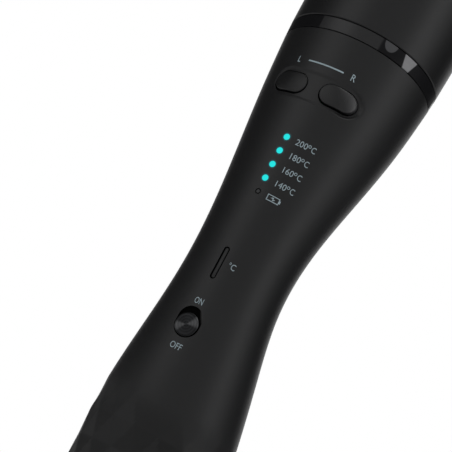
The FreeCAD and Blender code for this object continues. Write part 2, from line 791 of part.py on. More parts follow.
def gear(teeth, z0, z1):
    """A spur gear with involute flanks and shortened teeth, one tooth on +Y."""
    pitch = gear_module * teeth / 2
    angle = math.radians(pressure_angle)
    base = pitch * math.cos(angle)
    tip = pitch + addendum * gear_module
    root = pitch - dedendum * gear_module
    half = math.pi / (2 * teeth) + math.tan(angle) - angle - backlash / (2 * pitch)

    def spread(radius):
        """Half the tooth's angle at this radius."""
        if radius <= base:
            return half
        roll = math.acos(base / radius)
        return half - (math.tan(roll) - roll)

    def point(radius, turn):
        return Vector(radius * math.sin(turn), radius * math.cos(turn), z0)

    start = max(base, root)
    steps = 3
    radii = [start + (tip - start) * i / steps for i in range(steps + 1)]
    edges = []
    for tooth in range(teeth):
        middle = 2 * math.pi * tooth / teeth
        gap = middle + math.pi / teeth
        following = middle + 2 * math.pi / teeth
        rising = [point(r, middle - spread(r)) for r in radii]
        falling = [point(r, middle + spread(r)) for r in reversed(radii)]
        for flank in (rising, falling):
            curve = Part.BSplineCurve()
            curve.interpolate(flank)
            edges.append(curve.toShape())
        edges.append(Part.Arc(rising[-1], point(tip, middle), falling[0]).toShape())
        if root < base:
            edges.append(Part.makeLine(point(root, middle - half), rising[0]))
            edges.append(Part.makeLine(falling[-1], point(root, middle + half)))
        edges.append(Part.Arc(point(root, middle + spread(root)), point(root, gap),
                              point(root, following - spread(root))).toShape())
    wire = Part.Wire(Part.__sortEdges__(edges))
    return Part.Face(wire).extrude(Vector(0, 0, z1 - z0))


def drive():
    """The gear pair, the bush that the drum turns on, and the motor with its gearbox."""
    big = gear(drum_teeth, gear_z, hub_z).cut(rod(bush_outer + running_gap, gear_z - past, hub_z + past))
    save("drum_gear", big)
    small = gear(pinion_teeth, gear_z, gear_top)
    small.rotate(Vector(0, 0, 0), Vector(0, 0, 1), 180 / pinion_teeth)
    small.translate(Vector(0, pinion_y, 0))
    save("drive_pinion", small.cut(rod(shaft_radius, gear_z - past, gear_top + past, 0, pinion_y)))
    shaft_z = gear_top - shaft_length
    save("output_shaft", rod(shaft_radius, shaft_z, gear_top, 0, pinion_y))
    bore = stem_radius + seat
    bush = tube(bush_outer, bore, ring_z, collar_z)
    flange = tube(bush_outer + bush_flange, bore, ring_z, gear_z - washer_gap)
    save("drum_bush", bush.fuse(flange).removeSplitter())
    save("motor_gearbox", motor_gearbox(shaft_z))
    top = ring_z - bulkhead - gearbox_length
    low = top - motor_length
    half_x, half_y = motor_width / 2, motor_depth / 2
    can = rod(half_x, low, top, 0, pinion_y).common(block(-half_x, half_x, pinion_y - half_y, pinion_y + half_y,
                                                          low, top))
    save("motor", can.fuse(rod(motor_boss, low - motor_boss_height, top, 0, pinion_y)).removeSplitter())


def motor_gearbox(shaft_z):
    """Three plates on four pillars round a core of wheels, with two lugs for the screws."""
    top = ring_z - bulkhead
    low = top - gearbox_length
    half_x, half_y = motor_width / 2, motor_depth / 2
    box = rod(gearbox_core, low, top, 0, pinion_y)
    for z in (low, top - 2 * gearbox_plate - gearbox_plate_gap, top - gearbox_plate):
        box = box.fuse(block(-half_x, half_x, pinion_y - half_y, pinion_y + half_y, z, z + gearbox_plate))
    for side in (-1, 1):
        for back in (-1, 1):
            box = box.fuse(rod(gearbox_pillar, low, top, side * (half_x - gearbox_pillar_inset),
                               pinion_y + back * (half_y - gearbox_pillar_inset)))
        x = side * motor_screw_spread
        box = box.fuse(rod(gearbox_lug, top - motor_screw_depth - gearbox_plate, top, x, pinion_y))
        box = box.cut(rod(screw_radius, top - motor_screw_depth, top, x, pinion_y))
    bore = rod(shaft_radius + running_gap, shaft_z - shaft_end_gap, top + past, 0, pinion_y)
    return box.cut(bore).removeSplitter()


def hair_drum():
    """An open drum with a slot down one side and two hooks at the slot's mouth."""
    hub = tube(drum_radius, bush_outer + running_gap, hub_z, hub_top)
    drum = hub.fuse(tube(drum_radius, drum_radius - drum_wall, hub_top, drum_top))
    half = drum_slot_width / 2
    low = ring_z + slot_floor - drum_slot_drop + half
    inner = -foot_collar_radius
    slot = block(-half, half, -far, inner, low, drum_top + past).fuse(pin(half, -far, inner, 0, low))
    hook_top = drum_top - hook_drop
    for side in (-1, 1):
        x0, x1 = sorted((side * half, side * (half - hook_length)))
        slot = slot.cut(block(x0, x1, -far, inner, hook_top - hook_height, hook_top))
    return drum.cut(slot).removeSplitter()


def barrel():
    """The heated barrel on its foot, its core with heater and sensors, and its cool tip."""
    collar = tube(foot_collar_radius, stem_radius + seat, collar_z, barrel_z)
    collar = collar.fuse(tube(barrel_bore - seat, stem_radius + seat, barrel_z, stem_top))
    save("barrel_collar", collar.removeSplitter())
    save("heating_barrel", tube(barrel_radius, barrel_bore, barrel_z, barrel_top))
    core_top = barrel_top - tip_spigot
    inside_top = core_top - element_inset
    sensor_setback = barrel_bore - sensor_inset - fuse_radius
    element = block(-element_width / 2, element_width / 2, -element_thickness / 2, element_thickness / 2,
                    stem_top + element_inset, inside_top)
    sensor = rod(sensor_radius, inside_top - sensor_length, inside_top, 0, -sensor_setback)
    fuse = rod(fuse_radius, inside_top - fuse_length, inside_top, 0, sensor_setback)
    save("heater_block", rod(barrel_bore - seat, stem_top, core_top).cut(element).cut(sensor).cut(fuse))
    save("heating_element", element)
    save("thermistor", sensor)
    save("thermal_fuse", fuse)
    tip_top = barrel_top + tip_height
    tip = rod(tip_radius, barrel_top, tip_top)
    tip = tip.makeFillet(tip_edge, [e for e in tip.Edges if e.BoundBox.ZMin > tip_top - seat])
    save("barrel_tip", tip.fuse(rod(barrel_bore - seat, core_top, barrel_top)).removeSplitter())


save("base_cap", base_cap())
save("foot_pad", tube(foot_outer, foot_inner, 0, foot_proud + foot_depth, 0, base_setback))
charging()
cells()
save("cell_holder", cell_holder())
save("board_frame", board_frame())
board()
for name, height in zip(light_names, light_heights):
    save("lens_" + name, lens(light_radius, height))
save("lens_battery", lens(battery_light_radius, battery_z))
keys()
power_switch()
save("handle_sleeve", handle_sleeve())
save("facet_ring", facet_ring())
save("head_base", head_base())
save("head_screws", head_screws())
save("head_shell", head_shell())
save("head_liner", tube(liner_outer, liner_inner, liner_z, rim_z).cut(hair_slot(0.0)))
save("slot_trim", slot_trim())
save("head_rim", head_rim())
drive()
save("hair_drum", hair_drum())
barrel()

# The origin is the bottom centre of the whole object's box.
back = nodes["handle_sleeve"].optimalBoundingBox(False).YMax
front = nodes["head_shell"].optimalBoundingBox(False).YMin
axis_y = -(back + front) / 2
os.makedirs("parts", exist_ok=True)
for name, shape in nodes.items():
    shape.translate(Vector(0, axis_y, 0))
    if not shape.isValid():
        print("not valid:", name)
    shape.exportStep("parts/" + name + ".step")
print("nodes", len(nodes), "axis_y", round(axis_y, 3), "panel tilt", round(math.degrees(panel_tilt), 3))
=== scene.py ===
import bpy
import json
import math
import random
from mathutils import Matrix, Vector


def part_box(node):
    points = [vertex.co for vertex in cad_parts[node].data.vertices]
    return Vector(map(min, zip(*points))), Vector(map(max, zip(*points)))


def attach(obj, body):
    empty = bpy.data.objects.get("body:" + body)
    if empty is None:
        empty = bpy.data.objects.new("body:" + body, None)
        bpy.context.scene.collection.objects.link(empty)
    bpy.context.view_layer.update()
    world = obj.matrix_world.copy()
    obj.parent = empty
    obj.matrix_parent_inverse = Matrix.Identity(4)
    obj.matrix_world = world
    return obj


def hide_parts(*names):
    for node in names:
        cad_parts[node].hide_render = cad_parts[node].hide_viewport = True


# A cordless automatic hair curler: bent black handle, faceted ring and slotted head.
# Sizes are in millimetres and become metres where a piece is made.
mm = 0.001
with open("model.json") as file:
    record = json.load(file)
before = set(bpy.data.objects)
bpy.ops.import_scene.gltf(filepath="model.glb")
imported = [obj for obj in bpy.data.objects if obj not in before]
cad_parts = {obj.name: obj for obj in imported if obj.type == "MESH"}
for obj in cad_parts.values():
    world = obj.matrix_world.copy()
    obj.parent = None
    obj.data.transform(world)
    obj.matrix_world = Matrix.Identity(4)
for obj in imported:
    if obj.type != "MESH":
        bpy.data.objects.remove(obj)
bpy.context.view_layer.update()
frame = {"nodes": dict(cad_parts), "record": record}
nodes = frame["nodes"]
joints = {joint["name"]: joint for joint in frame["record"]["behaviour"]["joints"]}
slotOf = {part["node"]: part["material_slot"] for part in frame["record"]["subparts"]}


def nodeBox(node):
    low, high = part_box(node)
    return low / mm, high / mm


barrelLow, barrelHigh = nodeBox("heating_barrel")
ringLow, ringHigh = nodeBox("facet_ring")
shellLow, shellHigh = nodeBox("head_shell")
sleeveLow, sleeveHigh = nodeBox("handle_sleeve")
rimLow, rimHigh = nodeBox("head_rim")
axisY = (barrelLow.y + barrelHigh.y) / 2  # the head's axis
ringZ = ringLow.z
pushAxis = Vector(joints["left_press"]["axis"]).normalized()  # into the key panel
panelUp = Vector(joints["power_slide"]["axis"]).normalized()
panelTilt = math.atan2(pushAxis.z, pushAxis.y)
print("frame loaded, ring at", round(ringZ, 2), "axis at", round(axisY, 3))

# Helpers for meshes
meshForm = {
    "merge": 0.001, "mergeLoose": 0.002, "flatAngle": 0.5, "sharpAngle": 50.0, "bevelSegments": 2,
    "frontNormal": -0.9,
}


def leaveEdit():
    bpy.ops.object.mode_set(mode="OBJECT")


def clearSelection():
    if bpy.context.object and bpy.context.object.mode != "OBJECT":
        leaveEdit()
    bpy.ops.object.select_all(action="DESELECT")


def choose(piece):
    clearSelection()
    bpy.context.view_layer.objects.active = piece
    piece.select_set(True)


def named(name):
    bpy.context.object.name = name
    bpy.context.object.data.name = name
    return bpy.context.object


def settle(piece):  # place, turn and size go into the mesh
    choose(piece)
    bpy.ops.object.transform_apply(location=True, rotation=True, scale=True)


def applyModifier(piece, kind, **settings):
    choose(piece)
    modifier = piece.modifiers.new(kind.lower(), kind)
    for key, value in settings.items():
        setattr(modifier, key, value)
    bpy.ops.object.modifier_apply(modifier=modifier.name)


def bevelEdges(piece, width, **settings):  # rounds the sharp edges
    angle = math.radians(meshForm["sharpAngle"])
    applyModifier(piece, "BEVEL", width=width * mm, segments=meshForm["bevelSegments"],
                  limit_method="ANGLE", angle_limit=angle, **settings)


def editAll(piece):  # in edit mode afterwards, with the whole mesh selected
    choose(piece)
    bpy.ops.object.mode_set(mode="EDIT")
    bpy.ops.mesh.select_mode(type="VERT")
    bpy.ops.mesh.select_all(action="SELECT")


def joined(pieces, name):
    clearSelection()
    for piece in pieces:
        piece.select_set(True)
    bpy.context.view_layer.objects.active = pieces[0]
    if len(pieces) > 1:
        bpy.ops.object.join()
    return named(name)


def cutFrom(piece, cutters):
    cutter = joined(cutters, "cutter")
    applyModifier(piece, "BOOLEAN", operation="DIFFERENCE", solver="EXACT", object=cutter, use_self=False)
    bpy.data.objects.remove(cutter)


def clearMeshSelection(piece):
    choose(piece)
    for part in (piece.data.vertices, piece.data.edges, piece.data.polygons):
        for item in part:
            item.select = False


def selectFaces(piece, test):  # in edit mode afterwards, faces chosen by their centre and their normal
    clearMeshSelection(piece)
    for face in piece.data.polygons:
        face.select = test(face.center / mm, face.normal)
    bpy.ops.object.mode_set(mode="EDIT")
    bpy.ops.mesh.select_mode(type="FACE")


def selectEdges(piece, test):  # in edit mode afterwards, edges chosen by their two ends
    clearMeshSelection(piece)
    for edge in piece.data.edges:
        edge.select = test(*[piece.data.vertices[i].co / mm for i in edge.vertices])
    bpy.ops.object.mode_set(mode="EDIT")
    bpy.ops.mesh.select_mode(type="EDGE")


def facesFront(centre, normal):
    return normal.y < meshForm["frontNormal"]


def outwards(piece):  # doubled points are merged and every face is turned outwards
    editAll(piece)
    bpy.ops.mesh.remove_doubles(threshold=meshForm["merge"] * mm)
    bpy.ops.mesh.normals_make_consistent(inside=False)
    leaveEdit()


def finishPiece(piece, body, slotName, replaced=(), smoothAngle=35, material=None):
    choose(piece)
    bpy.ops.object.shade_smooth_by_angle(angle=math.radians(smoothAngle))
    piece.data.materials.clear()
    piece.data.materials.append(material or finishes[slotName])
    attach(piece, body)
    if replaced:
        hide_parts(*replaced)


def ringsUp(name, rings, around, solid=False):
    # A circle extruded from ring to ring. Each ring is radius, centre y and height.
    clearSelection()
    radius, y, z = rings[0]
    bpy.ops.mesh.primitive_circle_add(vertices=around, radius=radius * mm, location=(0, y * mm, z * mm))
    piece = named(name)
    settle(piece)
    editAll(piece)
    if solid:
        bpy.ops.mesh.edge_face_add()
    for last, ring in zip(rings, rings[1:]):
        step = (0, (ring[1] - last[1]) * mm, (ring[2] - last[2]) * mm)
        grow = ring[0] / last[0]
        bpy.ops.mesh.extrude_region_move(TRANSFORM_OT_translate={"value": step})
        bpy.ops.transform.resize(value=(grow, grow, 1), center_override=(0, ring[1] * mm, ring[2] * mm))
    if not solid:
        bpy.ops.mesh.select_all(action="DESELECT")
        bpy.ops.mesh.select_mode(type="EDGE")
        bpy.ops.mesh.select_non_manifold()
        bpy.ops.mesh.bridge_edge_loops()
    leaveEdit()
    outwards(piece)
    return piece


def upright(name, radius, sides, level=0.0):  # a filled circle that faces the front
    clearSelection()
    turn = (math.pi / 2, math.pi / sides, 0)
    bpy.ops.mesh.primitive_circle_add(vertices=sides, radius=radius * mm, fill_type="NGON", rotation=turn,
                                      location=(0, 0, level * mm))
    piece = named(name)
    settle(piece)
    return piece


def thickened(piece, depth):  # from a sheet that faces the front to a solid, towards the back
    editAll(piece)
    bpy.ops.mesh.extrude_region_move(TRANSFORM_OT_translate={"value": (0, depth * mm, 0)})
    leaveEdit()
    outwards(piece)
    return piece


def stadium(name, width, height, depth, sides=64):  # a flat solid with round ends about the origin
    radius = min(width, height) / 2
    reach = Vector(((width / 2 - radius) * mm, 0, (height / 2 - radius) * mm))
    piece = upright(name, radius, sides)
    for vertex in piece.data.vertices:
        side = vertex.co.dot(reach)
        vertex.co += reach * (1 if side > 0 else -1) + Vector((0, -depth / 2 * mm, 0))
    return thickened(piece, depth)


def onPanel(piece, spot):  # turns a piece that faces the front into the key panel, at a spot
    piece.matrix_world = Matrix.Translation(spot * mm) @ Matrix.Rotation(panelTilt, 4, "X")
    settle(piece)
    return piece


# Helpers for materials
def operator(operation):  # the method for one operation with another socket or a number
    return lambda self, other: self.math(operation, other)


class Value:  # one shader socket, so that maths on it reads as plain maths
    def __init__(self, nodes, socket):
        self.nodes = nodes
        self.socket = socket

    def math(self, operation, *others):
        sockets = {0: self, **dict(enumerate(others, 1))}
        return self.nodes.node("ShaderNodeMath", {"operation": operation}, sockets)

    __add__ = operator("ADD")
    __mul__ = operator("MULTIPLY")
    __sub__ = operator("SUBTRACT")
    __truediv__ = operator("DIVIDE")
    __pow__ = operator("POWER")

    def __rsub__(self, other):
        return self * -1.0 + other

    def ranged(self, low, high, first=0.0, last=1.0, kind="LINEAR"):  # first at low, last at high
        sockets = {"Value": self, "From Min": low, "From Max": high, "To Min": first, "To Max": last}
        return self.nodes.node("ShaderNodeMapRange", {"interpolation_type": kind}, sockets)

    def between(self, low, high):  # 0 below low, 1 above high, smooth in between
        return self.ranged(low, high, kind="SMOOTHSTEP")


class Nodes:  # the shader nodes of a material or of the world
    def __init__(self, tree):
        self.tree = tree

    def node(self, kind, settings=None, sockets=None, output=0):
        made = self.tree.nodes.new(kind)
        for key, value in (settings or {}).items():
            setattr(made, key, value)
        for key, value in (sockets or {}).items():
            if isinstance(value, Value):
                self.tree.links.new(value.socket, made.inputs[key])
            else:
                made.inputs[key].default_value = value
        return Value(self, made.outputs[output])

    def place(self, output="Object"):
        return self.node("ShaderNodeTexCoord", output=output)

    def axis(self, place, name):
        return self.node("ShaderNodeSeparateXYZ", {}, {0: place}, output=name)

    def vectorMath(self, operation, first, second):
        sockets = {0: first, 1: second}
        return self.node("ShaderNodeVectorMath", {"operation": operation}, sockets, "Value")

    def dot(self, place, direction):
        return self.vectorMath("DOT_PRODUCT", place, direction)

    def distance(self, place, spot):
        return self.vectorMath("DISTANCE", place, spot)

    def noise(self, scale, detail=3.0, stretch=(1, 1, 1)):
        place = self.node("ShaderNodeMapping", {}, {"Vector": self.place(), "Scale": stretch})
        return self.node("ShaderNodeTexNoise", {}, {"Vector": place, "Scale": scale, "Detail": detail})

    def blend(self, factor, first, second):
        return self.node("ShaderNodeMix", {"data_type": "RGBA"}, {0: factor, 6: first, 7: second}, output=2)

    def cover(self, factor, first, second):  # the second shader shows where the factor is 1
        return self.node("ShaderNodeMixShader", {}, {0: factor, 1: first, 2: second})

    def bump(self, height, distance):
        return self.node("ShaderNodeBump", {}, {"Height": height, "Distance": distance, "Strength": 1.0})


class Finish(Nodes):  # one material
    def __init__(self, name):
        self.material = bpy.data.materials.new(name)
        self.material.use_nodes = True
        super().__init__(self.material.node_tree)
        self.surface = self.tree.nodes["Principled BSDF"]

    def set(self, **sockets):
        for key, value in sockets.items():
            socket = self.surface.inputs[key.replace("_", " ")]
            if isinstance(value, Value):
                self.tree.links.new(value.socket, socket)
            else:
                socket.default_value = value
        return self.material

    def overlay(self, factor, shader):  # the shader lies over the surface where the factor is 1
        mixed = self.cover(factor, Value(self, self.surface.outputs[0]), shader)
        self.tree.links.new(mixed.socket, self.tree.nodes["Material Output"].inputs["Surface"])
        return self.material


def rgb(color, gain=1.0):
    return (*[min(part * gain, 1.0) for part in color], 1.0)


def metres(sizes):
    return [size * mm for size in sizes]


mouldForm = {"slowScale": 45, "fineDetail": 2.0, "spread": 0.06, "coatRoughness": 0.08}


def mouldedFinish(name, color, roughness, grain=0.004, grainScale=2600, mottle=0.12, metallic=0.0,
                  coat=0.0, stretch=(1, 1, 1)):  # a slow mottle, an uneven polish and a fine grain
    finish = Finish(name)
    spread = mouldForm["spread"]
    slow = finish.noise(mouldForm["slowScale"], stretch=stretch)
    fine = finish.noise(grainScale, mouldForm["fineDetail"], stretch)
    base = finish.blend(slow, rgb(color, 1 - mottle), rgb(color, 1 + mottle))
    polish = slow * spread + fine * spread + (roughness - spread)
    return finish.set(Base_Color=base, Roughness=polish, Normal=finish.bump(fine, grain * mm),
                      Metallic=metallic, Coat_Weight=coat, Coat_Roughness=mouldForm["coatRoughness"])


def brushedFinish(name, color, roughness, stretch):  # bare metal with its grain drawn out one way
    return mouldedFinish(name, color, roughness, metallic=1.0, stretch=stretch)


print("helpers ready")

# The handle's form, shared by every piece that lies on it
handleForm = {
    # drop below the ring, radius and set-back of the centre
    "sections": [(0, 28.1, 0), (20, 26.0, -0.1), (45, 22.1, -1.6), (70, 18.6, -2.9), (90, 18.3, -1.6),
                 (110, 20.9, 2.4), (135, 24.6, 8.0), (160, 26.55, 14.6), (176, 26.85, 18.0),
                 (190, 25.55, 19.5)],
}


def naturalSpline(places, values):
    # The smooth curve through the values, straight at both ends, as a function of place.
    count = len(places)
    gaps = [places[i + 1] - places[i] for i in range(count - 1)]
    slopes = [(values[i + 1] - values[i]) / gaps[i] for i in range(count - 1)]
    share, bend = [0.0], [0.0]
    for i in range(1, count - 1):
        pivot = 2 * (gaps[i - 1] + gaps[i]) - gaps[i - 1] * share[i - 1]
        share.append(gaps[i] / pivot)
        bend.append((6 * (slopes[i] - slopes[i - 1]) - gaps[i - 1] * bend[i - 1]) / pivot)
    bend.append(0.0)
    for i in range(count - 2, 0, -1):
        bend[i] -= share[i] * bend[i + 1]

    def value(place):
        i = max(j for j in range(count - 1) if j == 0 or places[j] <= place)
        after = place - places[i]
        before = gaps[i] - after
        curved = (bend[i] * before ** 3 + bend[i + 1] * after ** 3) / (6 * gaps[i])
        left = (values[i] / gaps[i] - bend[i] * gaps[i] / 6) * before
        right = (values[i + 1] / gaps[i] - bend[i + 1] * gaps[i] / 6) * after
        return curved + left + right

    return value


def smoothStep(low, high, value):  # 0 up to low, 1 from high on, smooth in between
    share = min(max((value - low) / (high - low), 0.0), 1.0)
    return share * share * (3 - 2 * share)


drops, radii, setbacks = zip(*handleForm["sections"])
bodyRadius = naturalSpline(drops, radii)
bodySetback = naturalSpline(drops, setbacks)


def surfacePoint(angle, drop, lift=0.0):  # angle from the front line, drop below the ring
    radius = bodyRadius(drop) + lift
    y = axisY + bodySetback(drop) - radius * math.cos(angle)
    return Vector((radius * math.sin(angle), y, ringZ - drop))


def frontSpot(drop, x=0.0):  # the surface point at this drop and distance from the middle
    return surfacePoint(math.asin(x / bodyRadius(drop)), drop)


# Sizes of the controls, which the sleeve needs too
keyForm = {
    "drop": 20.8, "inner": 2.65, "outer": 14.95, "height": 7.15, "sink": -0.08, "skirt": 2.0, "edge": 0.35,
    # the top: inner slope to the ridge, outer slope past it, both for the left and the right key
    "climb": (0.05, 0.12), "fall": (0.10, 0.46), "fallPower": 1.8, "ridge": 6.4, "swing": 2.4, "across": 14.0,
    # the hole: clearance aside and above, shift downwards
    "gap": (0.3, 0.425), "gapShift": 0.225,
    # the recess round both: reach past the left and the right key and above them, depth left and right
    "recessSide": (1.3, 2.45), "recessRise": 2.0, "recessDepth": (0.4, 1.15), "recessTurn": (9.0, 15.0),
    "recessSlope": 1.3,
    "sides": 96, "blank": 0.2, "longEdge": 2.0, "longCuts": 23,
    "insets": (0.06, 0.08, 0.1, 0.12, 0.15) + (0.2,) * 16,
}
keyX = (keyForm["inner"] + keyForm["outer"]) / 2
keyWidth = keyForm["outer"] - keyForm["inner"]
keyRadius = keyForm["height"] / 2
keySpot = frontSpot(keyForm["drop"], keyX)
keyLevel = keySpot.dot(panelUp)
lightForm = {
    "labels": ("200", "180", "160", "140"), "drops": (39.8, 44.9, 50.0, 55.1),
    "radius": 1.05, "gap": 0.025, "depth": 2.4, "sides": 32,
    "dome": ((0.15, 0.08), (0.3, 0.04)),  # inset and rise of each step
    "batteryDrop": 60.1, "batteryRadius": 0.65, "batteryGap": 0.31,
}
slitForm = {
    "drop": 86.5, "width": 1.2, "length": 10.7, "depth": 2.4, "sides": 32, "edge": 0.15, "sink": 0.25,
    "gap": 0.45,
}
sliderForm = {
    "drop": 108.9, "travel": 2.0, "radius": 4.0, "thickness": 1.5, "proud": 0.45, "sides": 96,
    "gap": 0.35, "pocketDepth": 1.25,
    # the face, as distances in from the radius and heights
    "edge": ((0.0, 0.0), (0.0, 1.15), (0.12, 1.3), (0.42, 1.5)),
    "grooves": 9, "grooveStart": 0.6, "groove": ((0.0, 1.5), (0.06, 1.47), (0.2, 1.5)),
}


def panelSpot(level, x):  # the surface point at this height up the panel
    drop = keyForm["drop"]
    for attempt in range(4):
        spot = frontSpot(drop, x)
        drop -= (level - spot.dot(panelUp)) / panelUp.z
    return frontSpot(drop, x)


def stadiumDepth(point, reach, radius):  # how far a panel point lies inside a lying stadium
    x, z = point
    return radius - math.hypot(max(abs(x) - reach, 0.0), z)


# Handle sleeve
sleeveForm = {
    "around": 240, "pitch": 0.9, "innerPitch": 9.0, "wall": 2.2, "keyHoleDepth": 16.0, "holeDepth": 12.0,
    # the finer mesh round the keys: distance before the axis, drops and reach aside
    "patchFront": 15.0, "patchDrops": (12.0, 29.0), "patchAside": 19.5, "patchCuts": 2, "recessEnd": 30.0,
    "facetsAround": 18, "facetRow": 9.0, "facetRows": 40, "facetFrom": (132.0, 142.0), "facetEnd": 3.0,
    "facetDent": 0.6, "seed": 11,
}


def recessLift(point):
    level = point.dot(panelUp) - keyLevel
    radius = keyRadius + keyForm["recessRise"]
    reach = keyForm["outer"] + keyForm["recessSide"][point.x > 0] - radius
    inside = stadiumDepth((point.x, level), reach, radius) / keyForm["recessSlope"]
    shallow, deep = keyForm["recessDepth"]
    depth = shallow + (deep - shallow) * smoothStep(*keyForm["recessTurn"], point.x)
    return -depth * smoothStep(0.0, 1.0, inside)


facetDents = {}
dentDraw = random.Random(sleeveForm["seed"])
for row in range(sleeveForm["facetRows"]):
    for column in range(sleeveForm["facetsAround"]):
        facetDents[row, column] = dentDraw.uniform(-sleeveForm["facetDent"], 0.0)


def facetCorner(row, column):
    count = sleeveForm["facetsAround"]
    angle = (column + 0.5 * (row % 2)) * 2 * math.pi / count
    drop = min(row * sleeveForm["facetRow"], handleForm["sections"][-1][0] - 0.01)
    return surfacePoint(angle, drop, facetDents[row, column % count])


def facetUnder(angle, drop):  # the lattice's flat triangle at this place, and its corners' weights
    row = int(drop / sleeveForm["facetRow"])
    down = drop / sleeveForm["facetRow"] - row
    shift, nextShift = 0.5 * (row % 2), 0.5 * ((row + 1) % 2)
    across = angle * sleeveForm["facetsAround"] / (2 * math.pi) - shift - (nextShift - shift) * down
    column = math.floor(across)
    along = across - column
    if nextShift > shift:
        first = ((row, 0), (row, 1), (row + 1, 0)), (1 - along - down, along, down)
        second = ((row + 1, 1), (row + 1, 0), (row, 1)), (along + down - 1, 1 - along, 1 - down)
        corners, weights = first if along + down < 1 else second
    else:
        first = ((row, 0), (row, 1), (row + 1, 1)), (1 - along, along - down, down)
        second = ((row, 0), (row + 1, 0), (row + 1, 1)), (1 - down, down - along, along)
        corners, weights = first if down < along else second
    return column, corners, weights


def facetPoint(angle, drop):
    column, corners, weights = facetUnder(angle, drop)
    point = Vector()
    for (cornerRow, side), weight in zip(corners, weights):
        point += facetCorner(cornerRow, column + side) * weight
    return point


def facetTone(angle, drop):  # 0 to 1, the same all over one flat triangle
    column, corners, weights = facetUnder(angle, drop)
    return random.Random(str((column % sleeveForm["facetsAround"], corners))).random()


def facetWeight(drop):  # 0 on the smooth grip, 1 where the facets are full
    bottom = ringZ - sleeveLow.z
    fade = smoothStep(bottom - sleeveForm["facetEnd"], bottom, drop)
    return smoothStep(*sleeveForm["facetFrom"], drop) * (1 - fade)


def paintFacets(piece):  # every facet gets painted shade of its own random depth, standing in for the light each facet catches
    shades = piece.data.attributes.new("facetTone", "FLOAT", "POINT")
    for vertex, shade in zip(piece.data.vertices, shades.data):
        drop = ringZ - vertex.co.z / mm
        angle = math.atan2(vertex.co.x, axisY * mm + bodySetback(drop) * mm - vertex.co.y)
        weight = facetWeight(drop)
        shade.value = weight * facetTone(angle, drop) if weight else 0.0


def sleeveRings():  # down the outside and up the inside
    top, bottom = ringZ - sleeveHigh.z, ringZ - sleeveLow.z
    outside = (top, bottom, sleeveForm["pitch"], 0.0)
    inside = (bottom, top, sleeveForm["innerPitch"], sleeveForm["wall"])
    rings = []
    for first, last, pitch, wall in (outside, inside):
        count = round((bottom - top) / pitch)
        for i in range(count + 1):
            drop = first + (last - first) * i / count
            rings.append((bodyRadius(drop) - wall, axisY + bodySetback(drop), ringZ - drop))
    return rings


def onKeyPatch(centre, normal):
    first, last = sleeveForm["patchDrops"]
    inFront = centre.y < axisY - sleeveForm["patchFront"] and normal.y < 0
    return inFront and first < ringZ - centre.z < last and abs(centre.x) < sleeveForm["patchAside"]


def shapeSleeve(piece):  # the recess round the keys and the facets of the tail
    for vertex in piece.data.vertices:
        point = vertex.co / mm
        drop = ringZ - point.z
        away = Vector((point.x, point.y - axisY - bodySetback(drop), 0))
        if away.length < bodyRadius(drop) - sleeveForm["wall"] / 2:
            continue
        angle = math.atan2(away.x, -away.y)
        smooth = surfacePoint(angle, drop)
        if drop < sleeveForm["recessEnd"] and smooth.y < axisY:
            smooth = surfacePoint(angle, drop, recessLift(smooth))
        weight = facetWeight(drop)
        if weight:
            smooth = smooth.lerp(facetPoint(angle, drop), weight)
        vertex.co = smooth * mm


def sleeveCutters():
    cutters = []
    aside, above = keyForm["gap"]
    width, height = keyWidth + 2 * aside, keyForm["height"] + 2 * above
    for side in (-1, 1):
        hole = stadium("keyHole", width, height, sleeveForm["keyHoleDepth"])
        spot = Vector((side * keySpot.x, keySpot.y, keySpot.z)) - panelUp * keyForm["gapShift"]
        cutters.append(onPanel(hole, spot))
    lamps = [(drop, lightForm["radius"] + lightForm["gap"]) for drop in lightForm["drops"]]
    lamps.append((lightForm["batteryDrop"], lightForm["batteryRadius"] + lightForm["batteryGap"]))
    for drop, radius in lamps:
        hole = stadium("lightHole", 2 * radius, 2 * radius, sleeveForm["holeDepth"], lightForm["sides"])
        cutters.append(onPanel(hole, frontSpot(drop)))
    gap = 2 * slitForm["gap"]
    slit = stadium("slitHole", slitForm["width"] + gap, slitForm["length"] + gap, sleeveForm["holeDepth"])
    cutters.append(onPanel(slit, frontSpot(slitForm["drop"])))
    width, travel = 2 * (sliderForm["radius"] + sliderForm["gap"]), sliderForm["travel"]
    pocket = stadium("pocket", width, width + travel, 2 * sliderForm["pocketDepth"], sliderForm["sides"])
    cutters.append(onPanel(pocket, frontSpot(sliderForm["drop"]) + panelUp * travel / 2))
    return cutters


def makeSleeve():
    piece = ringsUp("handle_sleeve_body", sleeveRings(), sleeveForm["around"])
    selectFaces(piece, onKeyPatch)
    bpy.ops.mesh.subdivide(number_cuts=sleeveForm["patchCuts"])
    leaveEdit()
    shapeSleeve(piece)
    cutFrom(piece, sleeveCutters())
    paintFacets(piece)
    return piece


sleeve = makeSleeve()
print("sleeve shaped,", len(sleeve.data.polygons), "faces")


# Keys
def keyLift(x, z, climb, fall):  # x outwards and z up, both from the key's middle
    along = x + keyWidth / 2
    past = max(along + keyForm["swing"] * z / keyRadius - keyForm["ridge"], 0.0)
    length = keyWidth - keyForm["ridge"]
    power = keyForm["fallPower"]
    lift = climb * min(along, keyForm["ridge"]) - fall * length * (past / length) ** power / power
    lift -= keyForm["sink"] + z * z / 2 / keyForm["across"]
    edge = keyForm["edge"]
    inside = stadiumDepth((x, z), keyWidth / 2 - keyRadius, keyRadius)
    if inside < edge:
        lift -= edge * (1 - math.sqrt(max(1 - (1 - inside / edge) ** 2, 0.0)))
    return lift


